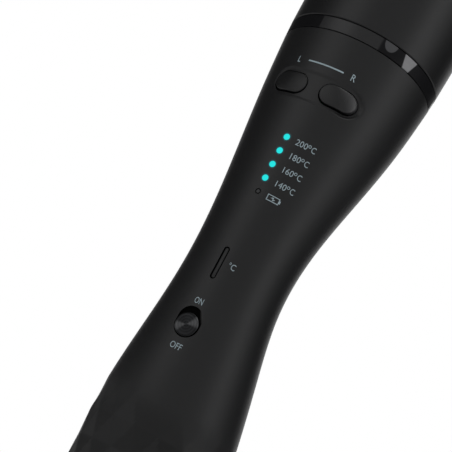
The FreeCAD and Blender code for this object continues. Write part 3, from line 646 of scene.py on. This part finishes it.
def makeKey(side, name):
    climb, fall = [keyForm[slope][side > 0] for slope in ("climb", "fall")]
    piece = stadium(name, keyWidth, keyForm["height"], keyForm["blank"], keyForm["sides"])
    selectEdges(piece, lambda first, second: (first - second).length > keyForm["longEdge"])
    bpy.ops.mesh.subdivide(number_cuts=keyForm["longCuts"])
    leaveEdit()
    selectFaces(piece, facesFront)
    for step in keyForm["insets"]:
        bpy.ops.mesh.inset(thickness=step * mm, use_even_offset=True)
    leaveEdit()
    for vertex in piece.data.vertices:
        x, y, z = vertex.co / mm
        outer = panelSpot(keyLevel + z, keyX + x)
        lift = keyLift(x, z, climb, fall) if y < 0 else -keyForm["skirt"]
        vertex.co = (Vector((side * outer.x, outer.y, outer.z)) - pushAxis * lift) * mm
    outwards(piece)
    return piece


leftKey = makeKey(-1, "left_key_cap")
rightKey = makeKey(1, "right_key_cap")
print("keys shaped")


def makeSlitBar():
    width, length, depth = slitForm["width"], slitForm["length"], slitForm["depth"]
    bar = stadium("temperature_bar", width, length, depth, slitForm["sides"])
    bevelEdges(bar, slitForm["edge"])
    return onPanel(bar, frontSpot(slitForm["drop"]) + pushAxis * (slitForm["sink"] + depth / 2))


slitBar = makeSlitBar()


# Lights
def makeLens(name, drop, radius):
    piece = stadium(name, 2 * radius, 2 * radius, lightForm["depth"], lightForm["sides"])
    selectFaces(piece, facesFront)
    for inset, rise in lightForm["dome"]:
        bpy.ops.mesh.inset(thickness=inset * mm)
        bpy.ops.transform.translate(value=(0, -rise * mm, 0))
    leaveEdit()
    return onPanel(piece, frontSpot(drop) + pushAxis * lightForm["depth"] / 2)


lenses = {}
for label, drop in zip(lightForm["labels"], lightForm["drops"]):
    lenses["lens_" + label] = makeLens(f"lens_{label}_dome", drop, lightForm["radius"])
batteryLens = makeLens("lens_battery_dome", lightForm["batteryDrop"], lightForm["batteryRadius"])


# Power slider
def makeSlider():  # a disc with rings turned into its face
    radius, grooves = sliderForm["radius"], sliderForm["grooves"]
    inner = radius - sliderForm["grooveStart"]
    profile = [(radius - inset, rise) for inset, rise in sliderForm["edge"]]
    for i in range(grooves):
        grooveEdge = inner - i * inner / (grooves + 1)
        profile += [(grooveEdge - inset, rise) for inset, rise in sliderForm["groove"]]
    rings = [(size, 0.0, rise) for size, rise in profile]
    piece = ringsUp("power_slider_disc", rings, sliderForm["sides"], solid=True)
    piece.matrix_world = Matrix.Rotation(math.pi / 2, 4, "X")
    settle(piece)
    outwards(piece)
    spot = frontSpot(sliderForm["drop"]) + pushAxis * (sliderForm["thickness"] - sliderForm["proud"])
    return onPanel(piece, spot)


slider = makeSlider()
print("lights and slider shaped")


# Head: shell, rim and the slot through both, and the ring below
headForm = {
    "bulges": [(0.0, 28.5), (20.0, 29.2), (48.0, 29.4), (88.3, 28.6)],  # height above the seam, radius
    "seam": 0.4, "lip": 27.0, "bore": 24.5, "wall": 2.2, "floor": 1.5, "chamfer": 0.3, "inset": 0.02,
    "around": 192, "pitch": 2.0, "edge": 0.21,
    "slotFloor": 27.0, "slotBottom": 9.0, "slotTop": 22.0, "slotInner": -7.1, "slotOuter": -60.0,
    "slotOver": 1.0, "slotSides": 96,
    "rimInner": 22.9, "rimEdge": 1.0, "rimSteps": 6,
    "rimInside": ((0.5, 0.0), (0.15, 0.15), (0.0, 0.5)),  # out from the bore, down from the top
    "ringLower": 28.1, "ringUpper": 28.4, "ringEdge": 0.12,
}
headZ = shellLow.z + headForm["seam"]
places, sizes = zip(*headForm["bulges"])
headRadius = naturalSpline(places, sizes)


def turned(name, rings):  # rings are radius and height about the head's axis
    return ringsUp(name, [(radius, axisY, z) for radius, z in rings], headForm["around"])


def slotCutter():  # round at the bottom and wider towards the top
    radius = headForm["slotBottom"] / 2
    low = ringZ + headForm["slotFloor"] + radius
    top = rimHigh.z + headForm["slotOver"]
    lean = (headForm["slotTop"] / 2 - radius) / (rimHigh.z - low)
    widen = (radius + lean * (top - low)) / radius
    piece = upright("slotCut", radius, headForm["slotSides"], low)
    for vertex in piece.data.vertices:
        vertex.co.y = (axisY + headForm["slotOuter"]) * mm
        if vertex.co.z > low * mm:
            vertex.co.x *= widen
            vertex.co.z = top * mm
    return thickened(piece, headForm["slotInner"] - headForm["slotOuter"])


def makeHeadShell():
    inset, wall, chamfer = headForm["inset"], headForm["wall"], headForm["chamfer"]
    bore, lip, floorZ = headForm["bore"], headForm["lip"], headZ + headForm["floor"]
    top = shellHigh.z
    count = round((top - headZ) / headForm["pitch"])
    levels = [headZ + (top - headZ) * i / count for i in range(1, count + 1)]
    rings = [(bore, shellLow.z), (lip, shellLow.z), (lip, headZ)]
    rings += [(headRadius(0) - chamfer, headZ), (headRadius(0) - inset, headZ + chamfer)]
    rings += [(headRadius(level - headZ) - inset, level) for level in levels]
    rings += [(headRadius(level - headZ) - wall, level) for level in reversed(levels)]
    rings += [(headRadius(0) - wall, floorZ), (bore, floorZ)]
    piece = turned("head_shell_body", rings)
    cutFrom(piece, [slotCutter()])
    return piece


def makeRim():
    inner, low, top = headForm["rimInner"], rimLow.z, rimHigh.z
    outer = (rimHigh.x - rimLow.x) / 2
    edge, steps = headForm["rimEdge"], headForm["rimSteps"]
    rings = [(inner, low), (outer, low), (outer, top - edge)]
    for i in range(1, steps + 1):
        turn = i / steps * math.pi / 2
        rings.append((outer - edge * (1 - math.cos(turn)), top - edge * (1 - math.sin(turn))))
    rings += [(inner + out, top - down) for out, down in headForm["rimInside"]]
    piece = turned("head_rim_body", rings)
    cutFrom(piece, [slotCutter()])
    return piece


def makeRingBand():
    bore, low, top, edge = headForm["bore"], ringLow.z, ringHigh.z, headForm["ringEdge"]
    lower, upper = headForm["ringLower"], headForm["ringUpper"]
    rings = [(bore, low), (lower - edge, low), (lower, low + edge)]
    rings += [(upper, top - edge), (upper - edge, top), (bore, top)]
    return turned("facet_ring_band", rings)


ringBand = makeRingBand()
headShell = makeHeadShell()
headRim = makeRim()
for piece in (headShell, headRim):
    bevelEdges(piece, headForm["edge"], miter_outer="MITER_ARC")
print("head shaped")


# Finishes that follow the form
slant = math.radians(30)
slantLine = (Vector((1, 0, 0)) * math.cos(slant) + panelUp * math.sin(slant)) / mm  # across the slider
bodyLook = {
    "dark": (0.0038, 0.0040, 0.0046), "pale": (0.0050, 0.0052, 0.0060), "slowScale": 38, "fineScale": 3200,
    "roughness": 0.40, "slowSpread": 0.05, "fineSpread": 0.06, "grain": 0.0022,
    # facets: the deepest painted shade on the tail's facets
    "glow": (0.0, 0.10, 0.12), "glowReach": (0.9, 1.9), "facets": 0.28,
    # the slider's pocket gets painted shade this deep down, this near its middle and not this far aside
    "paintedShade": (0.004, 0.004, 0.004), "deep": (0.9, 1.1), "near": (5.5, 5.8), "aside": (3.5, 4.4),
}


def bodyFinish():  # satin black, cyan light round each lamp, painted shade of random depth on the tail's facets, painted shade in the slider's pocket
    finish = Finish("bodyBlack")
    look = bodyLook
    slow = finish.noise(look["slowScale"])
    fine = finish.noise(look["fineScale"], mouldForm["fineDetail"])
    base = finish.blend(slow, rgb(look["dark"]), rgb(look["pale"]))
    polish = slow * look["slowSpread"] + fine * look["fineSpread"] + look["roughness"]
    place = finish.place()
    glow = 0.0
    for drop in lightForm["drops"]:
        away = finish.distance(place, frontSpot(drop) * mm)
        glow = (1 - away.between(*metres(look["glowReach"]))) ** 2.0 + glow
    light = finish.blend(glow, rgb((0, 0, 0)), rgb(look["glow"]))
    finish.set(Base_Color=base, Roughness=polish, Normal=finish.bump(fine, look["grain"] * mm),
               Emission_Color=light, Emission_Strength=1.0)
    # Painted shade: a flat dark diffuse shader over the floor of the slider's pocket, where the slider shades
    # it
    spot = (frontSpot(sliderForm["drop"]) + panelUp * sliderForm["travel"] / 2) * mm
    deep = (finish.dot(place, pushAxis) - spot.dot(pushAxis)).between(*metres(look["deep"]))
    near = finish.distance(place, spot).between(*metres(look["near"]))
    aside = (finish.dot(place, slantLine) - spot.dot(slantLine)).between(*look["aside"])
    paintedShade = finish.node("ShaderNodeBsdfDiffuse", {}, {"Color": rgb(look["paintedShade"])}, output="BSDF")
    # Painted shade: each tail facet is darkened by its own random amount, standing in for the light that
    # facet catches
    shade = finish.node("ShaderNodeAttribute", {"attribute_name": "facetTone"}, output="Fac")
    pocket = deep * (1 - near) * (1 - aside)
    return finish.overlay(pocket.math("MAXIMUM", shade * look["facets"]), paintedShade)


keyLook = {
    "dark": (0.0040, 0.0042, 0.0048), "pale": (0.0050, 0.0052, 0.0058), "slowScale": 60, "fineScale": 3000,
    "roughness": 0.43, "grain": 0.0008, "paintedSheen": (0.044, 0.044, 0.046), "sheenPolish": 0.18,
    "sheenReach": (1.0, 7.0), "sheenShare": 0.9, "sheenStepReach": (0.0, 0.4), "sheenStepShare": 0.1,
}


def keyFinish():  # the right key has a painted highlight: paler and glossier from its ridge to its outer end, with a painted step at the ridge
    finish = Finish("keyBlack")
    look = keyLook
    place = finish.place()
    level = finish.dot(place, panelUp) - keyLevel * mm
    along = (finish.axis(place, "X") + level * (keyForm["swing"] / keyRadius)) / mm
    past = along - (keyForm["inner"] + keyForm["ridge"])
    # Painted highlight past the right key's ridge, where its sloping end would catch the softbox
    paintedSheen = past.between(*look["sheenReach"]) * look["sheenShare"]
    paintedSheen = paintedSheen + past.between(*look["sheenStepReach"]) * look["sheenStepShare"]
    base = finish.blend(finish.noise(look["slowScale"]), rgb(look["dark"]), rgb(look["pale"]))
    base = finish.blend(paintedSheen, base, rgb(look["paintedSheen"]))
    polish = look["roughness"] - paintedSheen * look["sheenPolish"]
    grain = finish.bump(finish.noise(look["fineScale"]), look["grain"] * mm)
    return finish.set(Base_Color=base, Roughness=polish, Normal=grain)


lampLook = {
    "middle": (0.018, 0.78, 0.76), "rim": (0.006, 0.52, 0.53), "dark": (0.0, 0.08, 0.08), "facing": 0.35,
    "cloudScale": 1800, "cloud": 0.15, "roughness": 0.5, "specular": 0.15,
}


def lampFinish():  # frosted lamp, brighter in its middle
    finish = Finish("lampLit")
    look = lampLook
    facing = finish.node("ShaderNodeLayerWeight", {}, {"Blend": look["facing"]}, output="Facing")
    cloud = finish.noise(look["cloudScale"])
    light = finish.blend(facing + cloud * look["cloud"], rgb(look["middle"]), rgb(look["rim"]))
    return finish.set(Base_Color=rgb(look["dark"]), Roughness=look["roughness"],
                      Specular_IOR_Level=look["specular"], Emission_Color=light, Emission_Strength=1.0)


spunLook = {
    "dark": (0.010, 0.0102, 0.0108), "pale": (0.040, 0.041, 0.043), "bowTieHighlight": (0.125, 0.127, 0.131),
    "ringPitch": 0.95, "finePitch": 0.23, "bump": 0.008, "roughness": 0.30, "grainScale": 900,
    "grainShare": 0.3, "ringShare": 0.2, "paleShare": 0.35, "highlightReach": (0.82, 1.0), "highlightGrain": 0.6,
    "hub": 0.03,
}


def spunFinish():  # dark metal turned in rings about the slider's middle, with a painted bow-tie highlight to each side
    finish = Finish("sliderSpun")
    look = spunLook
    spot = (frontSpot(sliderForm["drop"]) - pushAxis * sliderForm["proud"]) * mm
    place = finish.place()
    away = finish.distance(place, spot)
    along = (finish.dot(place, slantLine) - spot.dot(slantLine)) / (away / mm + look["hub"])
    rings = (away * (2 * math.pi / (look["ringPitch"] * mm))).math("SINE")
    fine = (away * (2 * math.pi / (look["finePitch"] * mm))).math("SINE")
    grain = finish.noise(look["grainScale"]) * look["grainShare"] + rings * look["ringShare"]
    grain = grain + look["paleShare"]
    streaks = grain * look["highlightGrain"] + (1 - look["highlightGrain"])
    # Painted highlight: a bright fan to each side of the middle, in place of the spun metal's bow-tie
    # reflection
    bowTieHighlight = along.math("ABSOLUTE").between(*look["highlightReach"]) * streaks
    base = finish.blend(grain, rgb(look["dark"]), rgb(look["pale"]))
    base = finish.blend(bowTieHighlight, base, rgb(look["bowTieHighlight"]))
    return finish.set(Base_Color=base, Metallic=1.0, Roughness=look["roughness"],
                      Normal=finish.bump(fine, look["bump"] * mm))


ringLook = {
    "repeat": 120.0, "start": 19.0,  # degrees round the ring
    "bandStart": (0.0, 0.9), "bandEnd": (45.5, 47.5), "moonMiddle": 53.3, "moonHalf": 5.0, "moonHeight": 0.68,
    "moonEdge": (0.9, 1.1), "paneStart": (67.0, 67.6), "paneEnd": (73.0, 73.6), "paneLean": (2.4, 3.2),
    # the plain colour, then the colours of the painted reflections
    "plain": (0.010, 0.010, 0.011), "band": (0.020, 0.020, 0.021), "moon": (0.075, 0.076, 0.08),
    "pane": (0.24, 0.24, 0.25), "coat": 0.17, "bandCoat": 0.6, "moonCoat": 0.4, "paneCoat": 0.7,
    "coatRoughness": 0.32, "roughness": 0.5,
}


def ringFinish():  # gloss black with painted reflections of the ring's facets in paler patches, three times round
    finish = Finish("ringGloss")
    look = ringLook
    place = finish.place()
    x, y, z = [finish.axis(place, name) for name in "XYZ"]
    angle = x.math("ARCTAN2", axisY * mm - y) * (180 / math.pi)
    turn = (angle + look["start"]).math("WRAP", look["repeat"], 0.0)
    high = (z - ringZ * mm) / ((ringHigh.z - ringZ) * mm)
    band = turn.between(*look["bandStart"]) * (1 - turn.between(*look["bandEnd"]))
    across = (turn - look["moonMiddle"]) / look["moonHalf"]
    moon = across ** 2.0 + ((1 - high) / look["moonHeight"]) ** 2.0
    moon = 1 - moon.between(*look["moonEdge"])
    left, right = look["paneLean"]
    pane = (turn + high * left).between(*look["paneStart"])
    pane = pane * (1 - (turn - high * right).between(*look["paneEnd"]))
    # Painted reflections: a band, a half-moon and a pane on each third of the ring are paler and more
    # strongly coated, where the ring's facets would catch the softboxes
    base = finish.blend(band, rgb(look["plain"]), rgb(look["band"]))
    base = finish.blend(moon, base, rgb(look["moon"]))
    base = finish.blend(pane, base, rgb(look["pane"]))
    coat = band * look["bandCoat"] + moon * look["moonCoat"] + pane * look["paneCoat"] + look["coat"]
    return finish.set(Base_Color=base, Roughness=look["roughness"], Specular_IOR_Level=0.0,
                      Coat_Weight=coat, Coat_Roughness=look["coatRoughness"])


# Every finish, by the slot that it fills
finishes = {
    "body_black": bodyFinish(),
    "base_black": mouldedFinish("baseBlack", (0.014, 0.014, 0.0155), 0.50),
    "foot_rubber": mouldedFinish("footRubber", (0.012, 0.012, 0.012), 0.85, 0.02, 1500),
    "ring_black": ringFinish(),
    "head_black": mouldedFinish("headBlack", (0.0044, 0.0046, 0.0053), 0.42, 0.0022, 3200),
    "rim_black": mouldedFinish("rimBlack", (0.007, 0.007, 0.008), 0.28, 0.001),
    "key_black": keyFinish(),
    "slider_metal": spunFinish(),
    "lens_lit": lampFinish(),
    "lens_dark": mouldedFinish("lampDark", (0.03, 0.031, 0.033), 0.4, 0.0),
    "chamber_grey": mouldedFinish("chamberGrey", (0.018, 0.018, 0.02), 0.32, 0.002),
    "drum_grey": mouldedFinish("drumGrey", (0.045, 0.045, 0.05), 0.30, 0.002),
    "gear_white": mouldedFinish("gearWhite", (0.72, 0.70, 0.65), 0.48, 0.002, mottle=0.04),
    "barrel_ceramic": mouldedFinish("barrelCeramic", (0.15, 0.115, 0.135), 0.24, 0.003, 1800, coat=0.4),
    "tip_black": mouldedFinish("tipBlack", (0.02, 0.02, 0.02), 0.55, 0.006),
    "heater_metal": brushedFinish("heaterMetal", (0.66, 0.66, 0.67), 0.34, (1, 1, 0.05)),
    "heater_ceramic": mouldedFinish("heaterCeramic", (0.80, 0.78, 0.72), 0.62, 0.01),
    "steel": brushedFinish("plainSteel", (0.56, 0.56, 0.57), 0.30, (1, 1, 0.08)),
    "cell_wrap": mouldedFinish("cellWrap", (0.03, 0.16, 0.40), 0.28, 0.001, mottle=0.05),
    "tab_metal": brushedFinish("tabMetal", (0.62, 0.60, 0.54), 0.32, (0.1, 1, 1)),
    "frame_black": mouldedFinish("frameBlack", (0.035, 0.035, 0.036), 0.55, 0.006),
    "board_green": mouldedFinish("boardGreen", (0.015, 0.13, 0.055), 0.38, 0.002, mottle=0.2),
    "device_black": mouldedFinish("deviceBlack", (0.02, 0.02, 0.02), 0.45),
    "device_white": mouldedFinish("deviceWhite", (0.74, 0.74, 0.71), 0.45, mottle=0.04),
}
printPale = mouldedFinish("printPale", (0.39, 0.49, 0.535), 0.6, 0.0, mottle=0.05)

# Pieces take their finish and body
for name, node in nodes.items():
    node.data.materials.clear()
    node.data.materials.append(finishes[slotOf[name]])

finishPiece(sleeve, "handle", "body_black", ["handle_sleeve"])
finishPiece(leftKey, "left_button", "key_black", ["left_key"], smoothAngle=50)
finishPiece(rightKey, "right_button", "key_black", ["right_key"], smoothAngle=50)
for name, lens in lenses.items():
    finishPiece(lens, "handle", "lens_lit", [name], smoothAngle=60)
finishPiece(batteryLens, "handle", "lens_dark", ["lens_battery"], smoothAngle=60)
finishPiece(slitBar, "temperature", "key_black", ["temperature_button"])
finishPiece(slider, "power", "slider_metal", ["power_slider"], smoothAngle=20)
finishPiece(headShell, "handle", "head_black", ["head_shell"])
finishPiece(headRim, "handle", "rim_black", ["head_rim"])


def smoothCopy(node, body, edge):  # a round node's own shape with smooth faces and rounded edges
    piece = nodes[node].copy()
    piece.data = nodes[node].data.copy()
    piece.name = node + "_smooth"
    piece.parent = None
    piece.matrix_world = Matrix.Identity(4)
    bpy.context.collection.objects.link(piece)
    editAll(piece)
    bpy.ops.mesh.remove_doubles(threshold=meshForm["mergeLoose"] * mm)
    bpy.ops.mesh.dissolve_limited(angle_limit=math.radians(meshForm["flatAngle"]))
    leaveEdit()
    if edge:
        bevelEdges(piece, edge)
    finishPiece(piece, body, slotOf[node], [node], smoothAngle=30)


roundNodes = {  # how far the edges of each are rounded
    "heating_barrel": 0.0, "barrel_tip": 0.0, "barrel_collar": 0.15, "head_liner": 0.12, "hair_drum": 0.12,
    "base_cap": 0.12, "foot_pad": 0.12,
}
for node, edge in roundNodes.items():
    smoothCopy(node, "drum" if node == "hair_drum" else "handle", edge)
finishPiece(ringBand, "handle", "ring_black", ["facet_ring"])
print("finishes set")

# Lettering and signs, wrapped on the sleeve
printForm = {
    "lift": 0.03, "thickness": 0.02, "letter": 2.1, "fontSize": 10.0, "fontTall": 7.0, "fontCuts": 3,
    # text, arc, drop of its middle, height, width and where the arc lies in it
    "words": (("L", -10.0, 12.6, 2.2, 0.85, "CENTER"), ("R", 10.7, 12.6, 2.4, 0.85, "CENTER"),
              ("\u00b0C", 2.95, slitForm["drop"] - 0.4, 2.1, 0.8, "LEFT"),
              ("ON", 0.0, 100.45, 2.1, 0.68, "CENTER"), ("OFF", 0.3, 116.4, 2.1, 0.82, "CENTER")),
    # beside every lamp: arc, drop below the lamp, height and width of the number, the degree sign and the C
    "number": (3.6, 0.25, 2.1, 0.97), "degree": (7.72, 1.07, 2.8, 1.0), "celsius": (9.28, 0.25, 2.1, 0.8),
    # arc and drop of a sign, and corners about that spot
    "dash": (0.45, 12.45), "dashCuts": 11,
    "dashBox": ((-6.6, -0.25), (6.6, -0.25), (-6.6, 0.25), (6.6, 0.25)),
    "battery": (3.55, 60.5), "case": ((0, -1.05), (4.4, -1.05), (0, 1.05), (4.4, 1.05)), "caseCuts": 7,
    "caseLine": 0.26, "pole": ((4.4, -0.5), (4.85, -0.5), (4.4, 0.5), (4.85, 0.5)),
    "bolt": (
        ((1.3, 0.06), (2.35, 0.06), (1.9, 0.5), (2.4, 0.5)),
        ((2.0, -0.5), (2.5, -0.5), (2.05, -0.06), (3.1, -0.06)),
    ),
}


def printed(piece, arc, drop):  # a flat sheet, made thick, on the sleeve at this arc and drop
    editAll(piece)
    bpy.ops.mesh.remove_doubles(threshold=meshForm["mergeLoose"] * mm)
    bpy.ops.mesh.extrude_region_move(TRANSFORM_OT_translate={"value": (0, 0, printForm["thickness"] * mm)})
    bpy.ops.mesh.select_all(action="SELECT")
    bpy.ops.mesh.normals_make_consistent(inside=False)
    leaveEdit()
    for vertex in piece.data.vertices:
        along, up, lift = vertex.co / mm
        level = drop - up
        radius = bodyRadius(level)
        vertex.co = surfacePoint((arc + along) / radius, level, lift + printForm["lift"]) * mm
    return piece


def letters(body, arc, drop, height, width, align="LEFT"):
    clearSelection()
    bpy.ops.object.text_add()
    text = bpy.context.object
    text.data.body = body
    text.data.size = printForm["fontSize"] * mm
    text.data.align_x = align
    text.data.resolution_u = printForm["fontCuts"]
    bpy.ops.object.convert(target="MESH")
    piece = named("letters")
    tall = height / printForm["fontTall"]
    for vertex in piece.data.vertices:
        vertex.co = Vector((vertex.co.x * tall * width, vertex.co.y * tall, 0))
    return printed(piece, arc, drop + printForm["letter"] / 2)


def sheet(corners, arc, drop, cuts=0, line=0.0):  # four corners, or their outline if a line is given
    clearSelection()
    bpy.ops.mesh.primitive_plane_add(size=1)
    piece = named("sheet")
    for vertex, (x, z) in zip(piece.data.vertices, corners):
        vertex.co = (x * mm, z * mm, 0)
    editAll(piece)
    if cuts:
        bpy.ops.mesh.subdivide(number_cuts=cuts)
    if line:
        bpy.ops.mesh.inset(thickness=line * mm)
        bpy.ops.mesh.delete(type="FACE")
    return printed(piece, arc, drop)


prints = [letters(*word) for word in printForm["words"]]
for label, lampDrop in zip(lightForm["labels"], lightForm["drops"]):
    for text, sign in ((label, "number"), ("\u00b0", "degree"), ("C", "celsius")):
        arc, down, height, width = printForm[sign]
        prints.append(letters(text, arc, lampDrop + down, height, width))
prints.append(sheet(printForm["dashBox"], *printForm["dash"], printForm["dashCuts"]))
prints.append(sheet(printForm["case"], *printForm["battery"], printForm["caseCuts"], printForm["caseLine"]))
for corners in (printForm["pole"],) + printForm["bolt"]:
    prints.append(sheet(corners, *printForm["battery"]))
markings = joined(prints, "panel_markings")
finishPiece(markings, "handle", "device_white", material=printPale)
print("lettering placed")

# Floor, camera and light
studio = {
    "floorSize": 6.0, "floorDrop": 0.2, "floorDark": (0.80, 0.80, 0.80), "floorPale": (0.84, 0.84, 0.84),
    "floorScale": 6, "floorRoughness": 0.6,
    "cameraFrom": (168.775, -395.029, -183.089),  # from the ring on the head's axis
    "cameraRight": (0.83803, 0.24668, 0.48667), "cameraUp": (-0.36453, -0.41054, 0.83581),
    "lens": 105.36, "sensor": 36.0,
    "aimDrop": 70.0, "reach": 1.1,  # the softboxes face this drop, at this distance in metres
    # degrees to the right of the camera and above the level, width and height in metres, power in watts
    "softboxes": {"leftStrip": (-51, 5, 0.62, 1.4, 1.9), "rightStrip": (62, 3, 0.66, 1.4, 1.5),
                  "keyStrip": (54, 26, 0.20, 1.3, 0.9), "overhead": (20, 70, 0.5, 0.5, 1.2)},
    # light of the surroundings, from ahead of the camera (0) to behind it (1)
    "around": ((0.0, 1.0), (0.02, 0.9), (0.06, 0.05), (0.35, 0.03), (0.60, 0.205), (1.0, 0.46)),
    "zenith": (0.80, 0.95, 0.0, 0.85),  # and more of it from above
    "far": (0.14, 0.08), "farRight": (-0.2, 0.45, 0.0, 0.9),  # and from far behind on the right
}

clearSelection()
bpy.ops.mesh.primitive_plane_add(size=studio["floorSize"], location=(0, 0, -studio["floorDrop"] * mm))
floor = named("floor")
floorPaint = Finish("floorPale")
floorCloud = floorPaint.noise(studio["floorScale"])
floorColor = floorPaint.blend(floorCloud, rgb(studio["floorDark"]), rgb(studio["floorPale"]))
floor.data.materials.append(floorPaint.set(Base_Color=floorColor, Roughness=studio["floorRoughness"]))

ringSpot = Vector((0, axisY, ringZ))
cameraRight = Vector(studio["cameraRight"]).normalized()
cameraUp = Vector(studio["cameraUp"]).normalized()
cameraBack = cameraRight.cross(cameraUp).normalized()
bpy.ops.object.camera_add()
camera = named("camera")
turn = Matrix((cameraRight, cameraUp, cameraBack)).transposed().to_4x4()
camera.matrix_world = Matrix.Translation((ringSpot + Vector(studio["cameraFrom"])) * mm) @ turn
camera.data.lens = studio["lens"]
camera.data.sensor_width = studio["sensor"]
bpy.context.scene.camera = camera

aim = (ringSpot - Vector((0, 0, studio["aimDrop"]))) * mm
cameraTurn = math.atan2(studio["cameraFrom"][0], -studio["cameraFrom"][1])  # from the front, to the right
for name, (aside, above, width, height, power) in studio["softboxes"].items():
    angle = cameraTurn + math.radians(aside)
    away = Vector((math.sin(angle), -math.cos(angle), math.tan(math.radians(above)))).normalized()
    bpy.ops.object.light_add(type="AREA", location=aim + away * studio["reach"])
    softbox = named(name)
    softbox.data.shape = "RECTANGLE"
    softbox.data.size = width
    softbox.data.size_y = height
    softbox.data.energy = power
    softbox.rotation_euler = away.to_track_quat("Z", "Y").to_euler()


def greyRamp(nodes, factor, stops):  # each stop is its place and its level
    ramp = nodes.node("ShaderNodeValToRGB", {}, {"Fac": factor})
    elements = ramp.socket.node.color_ramp.elements
    while len(elements) < len(stops):
        elements.new(0.5)
    for stop, (place, level) in zip(elements, stops):
        stop.position = place
        stop.color = rgb((level, level, level))
    return ramp


def lightWorld():  # white where the camera sees it, graded where it lights the object
    world = bpy.data.worlds.new("studio")
    bpy.context.scene.world = world
    world.use_nodes = True
    sky = Nodes(world.node_tree)
    sky.tree.nodes.clear()
    place = sky.place("Generated")
    share = sky.dot(place, cameraBack).ranged(-1.0, 1.0)
    level = greyRamp(sky, share, studio["around"]) + sky.axis(place, "Z").ranged(*studio["zenith"])
    glow = sky.dot(place, cameraRight).ranged(*studio["farRight"])
    level = glow.math("MULTIPLY_ADD", share.ranged(*studio["far"]), level)
    lit = sky.node("ShaderNodeBackground", {}, {"Color": level})
    seen = sky.node("ShaderNodeBackground", {}, {"Color": rgb((1, 1, 1))})
    mixed = sky.cover(sky.node("ShaderNodeLightPath", output="Is Camera Ray"), lit, seen)
    output = sky.tree.nodes.new("ShaderNodeOutputWorld")
    sky.tree.links.new(mixed.socket, output.inputs["Surface"])


lightWorld()
bpy.context.scene.view_settings.view_transform = "Standard"
print("studio ready")
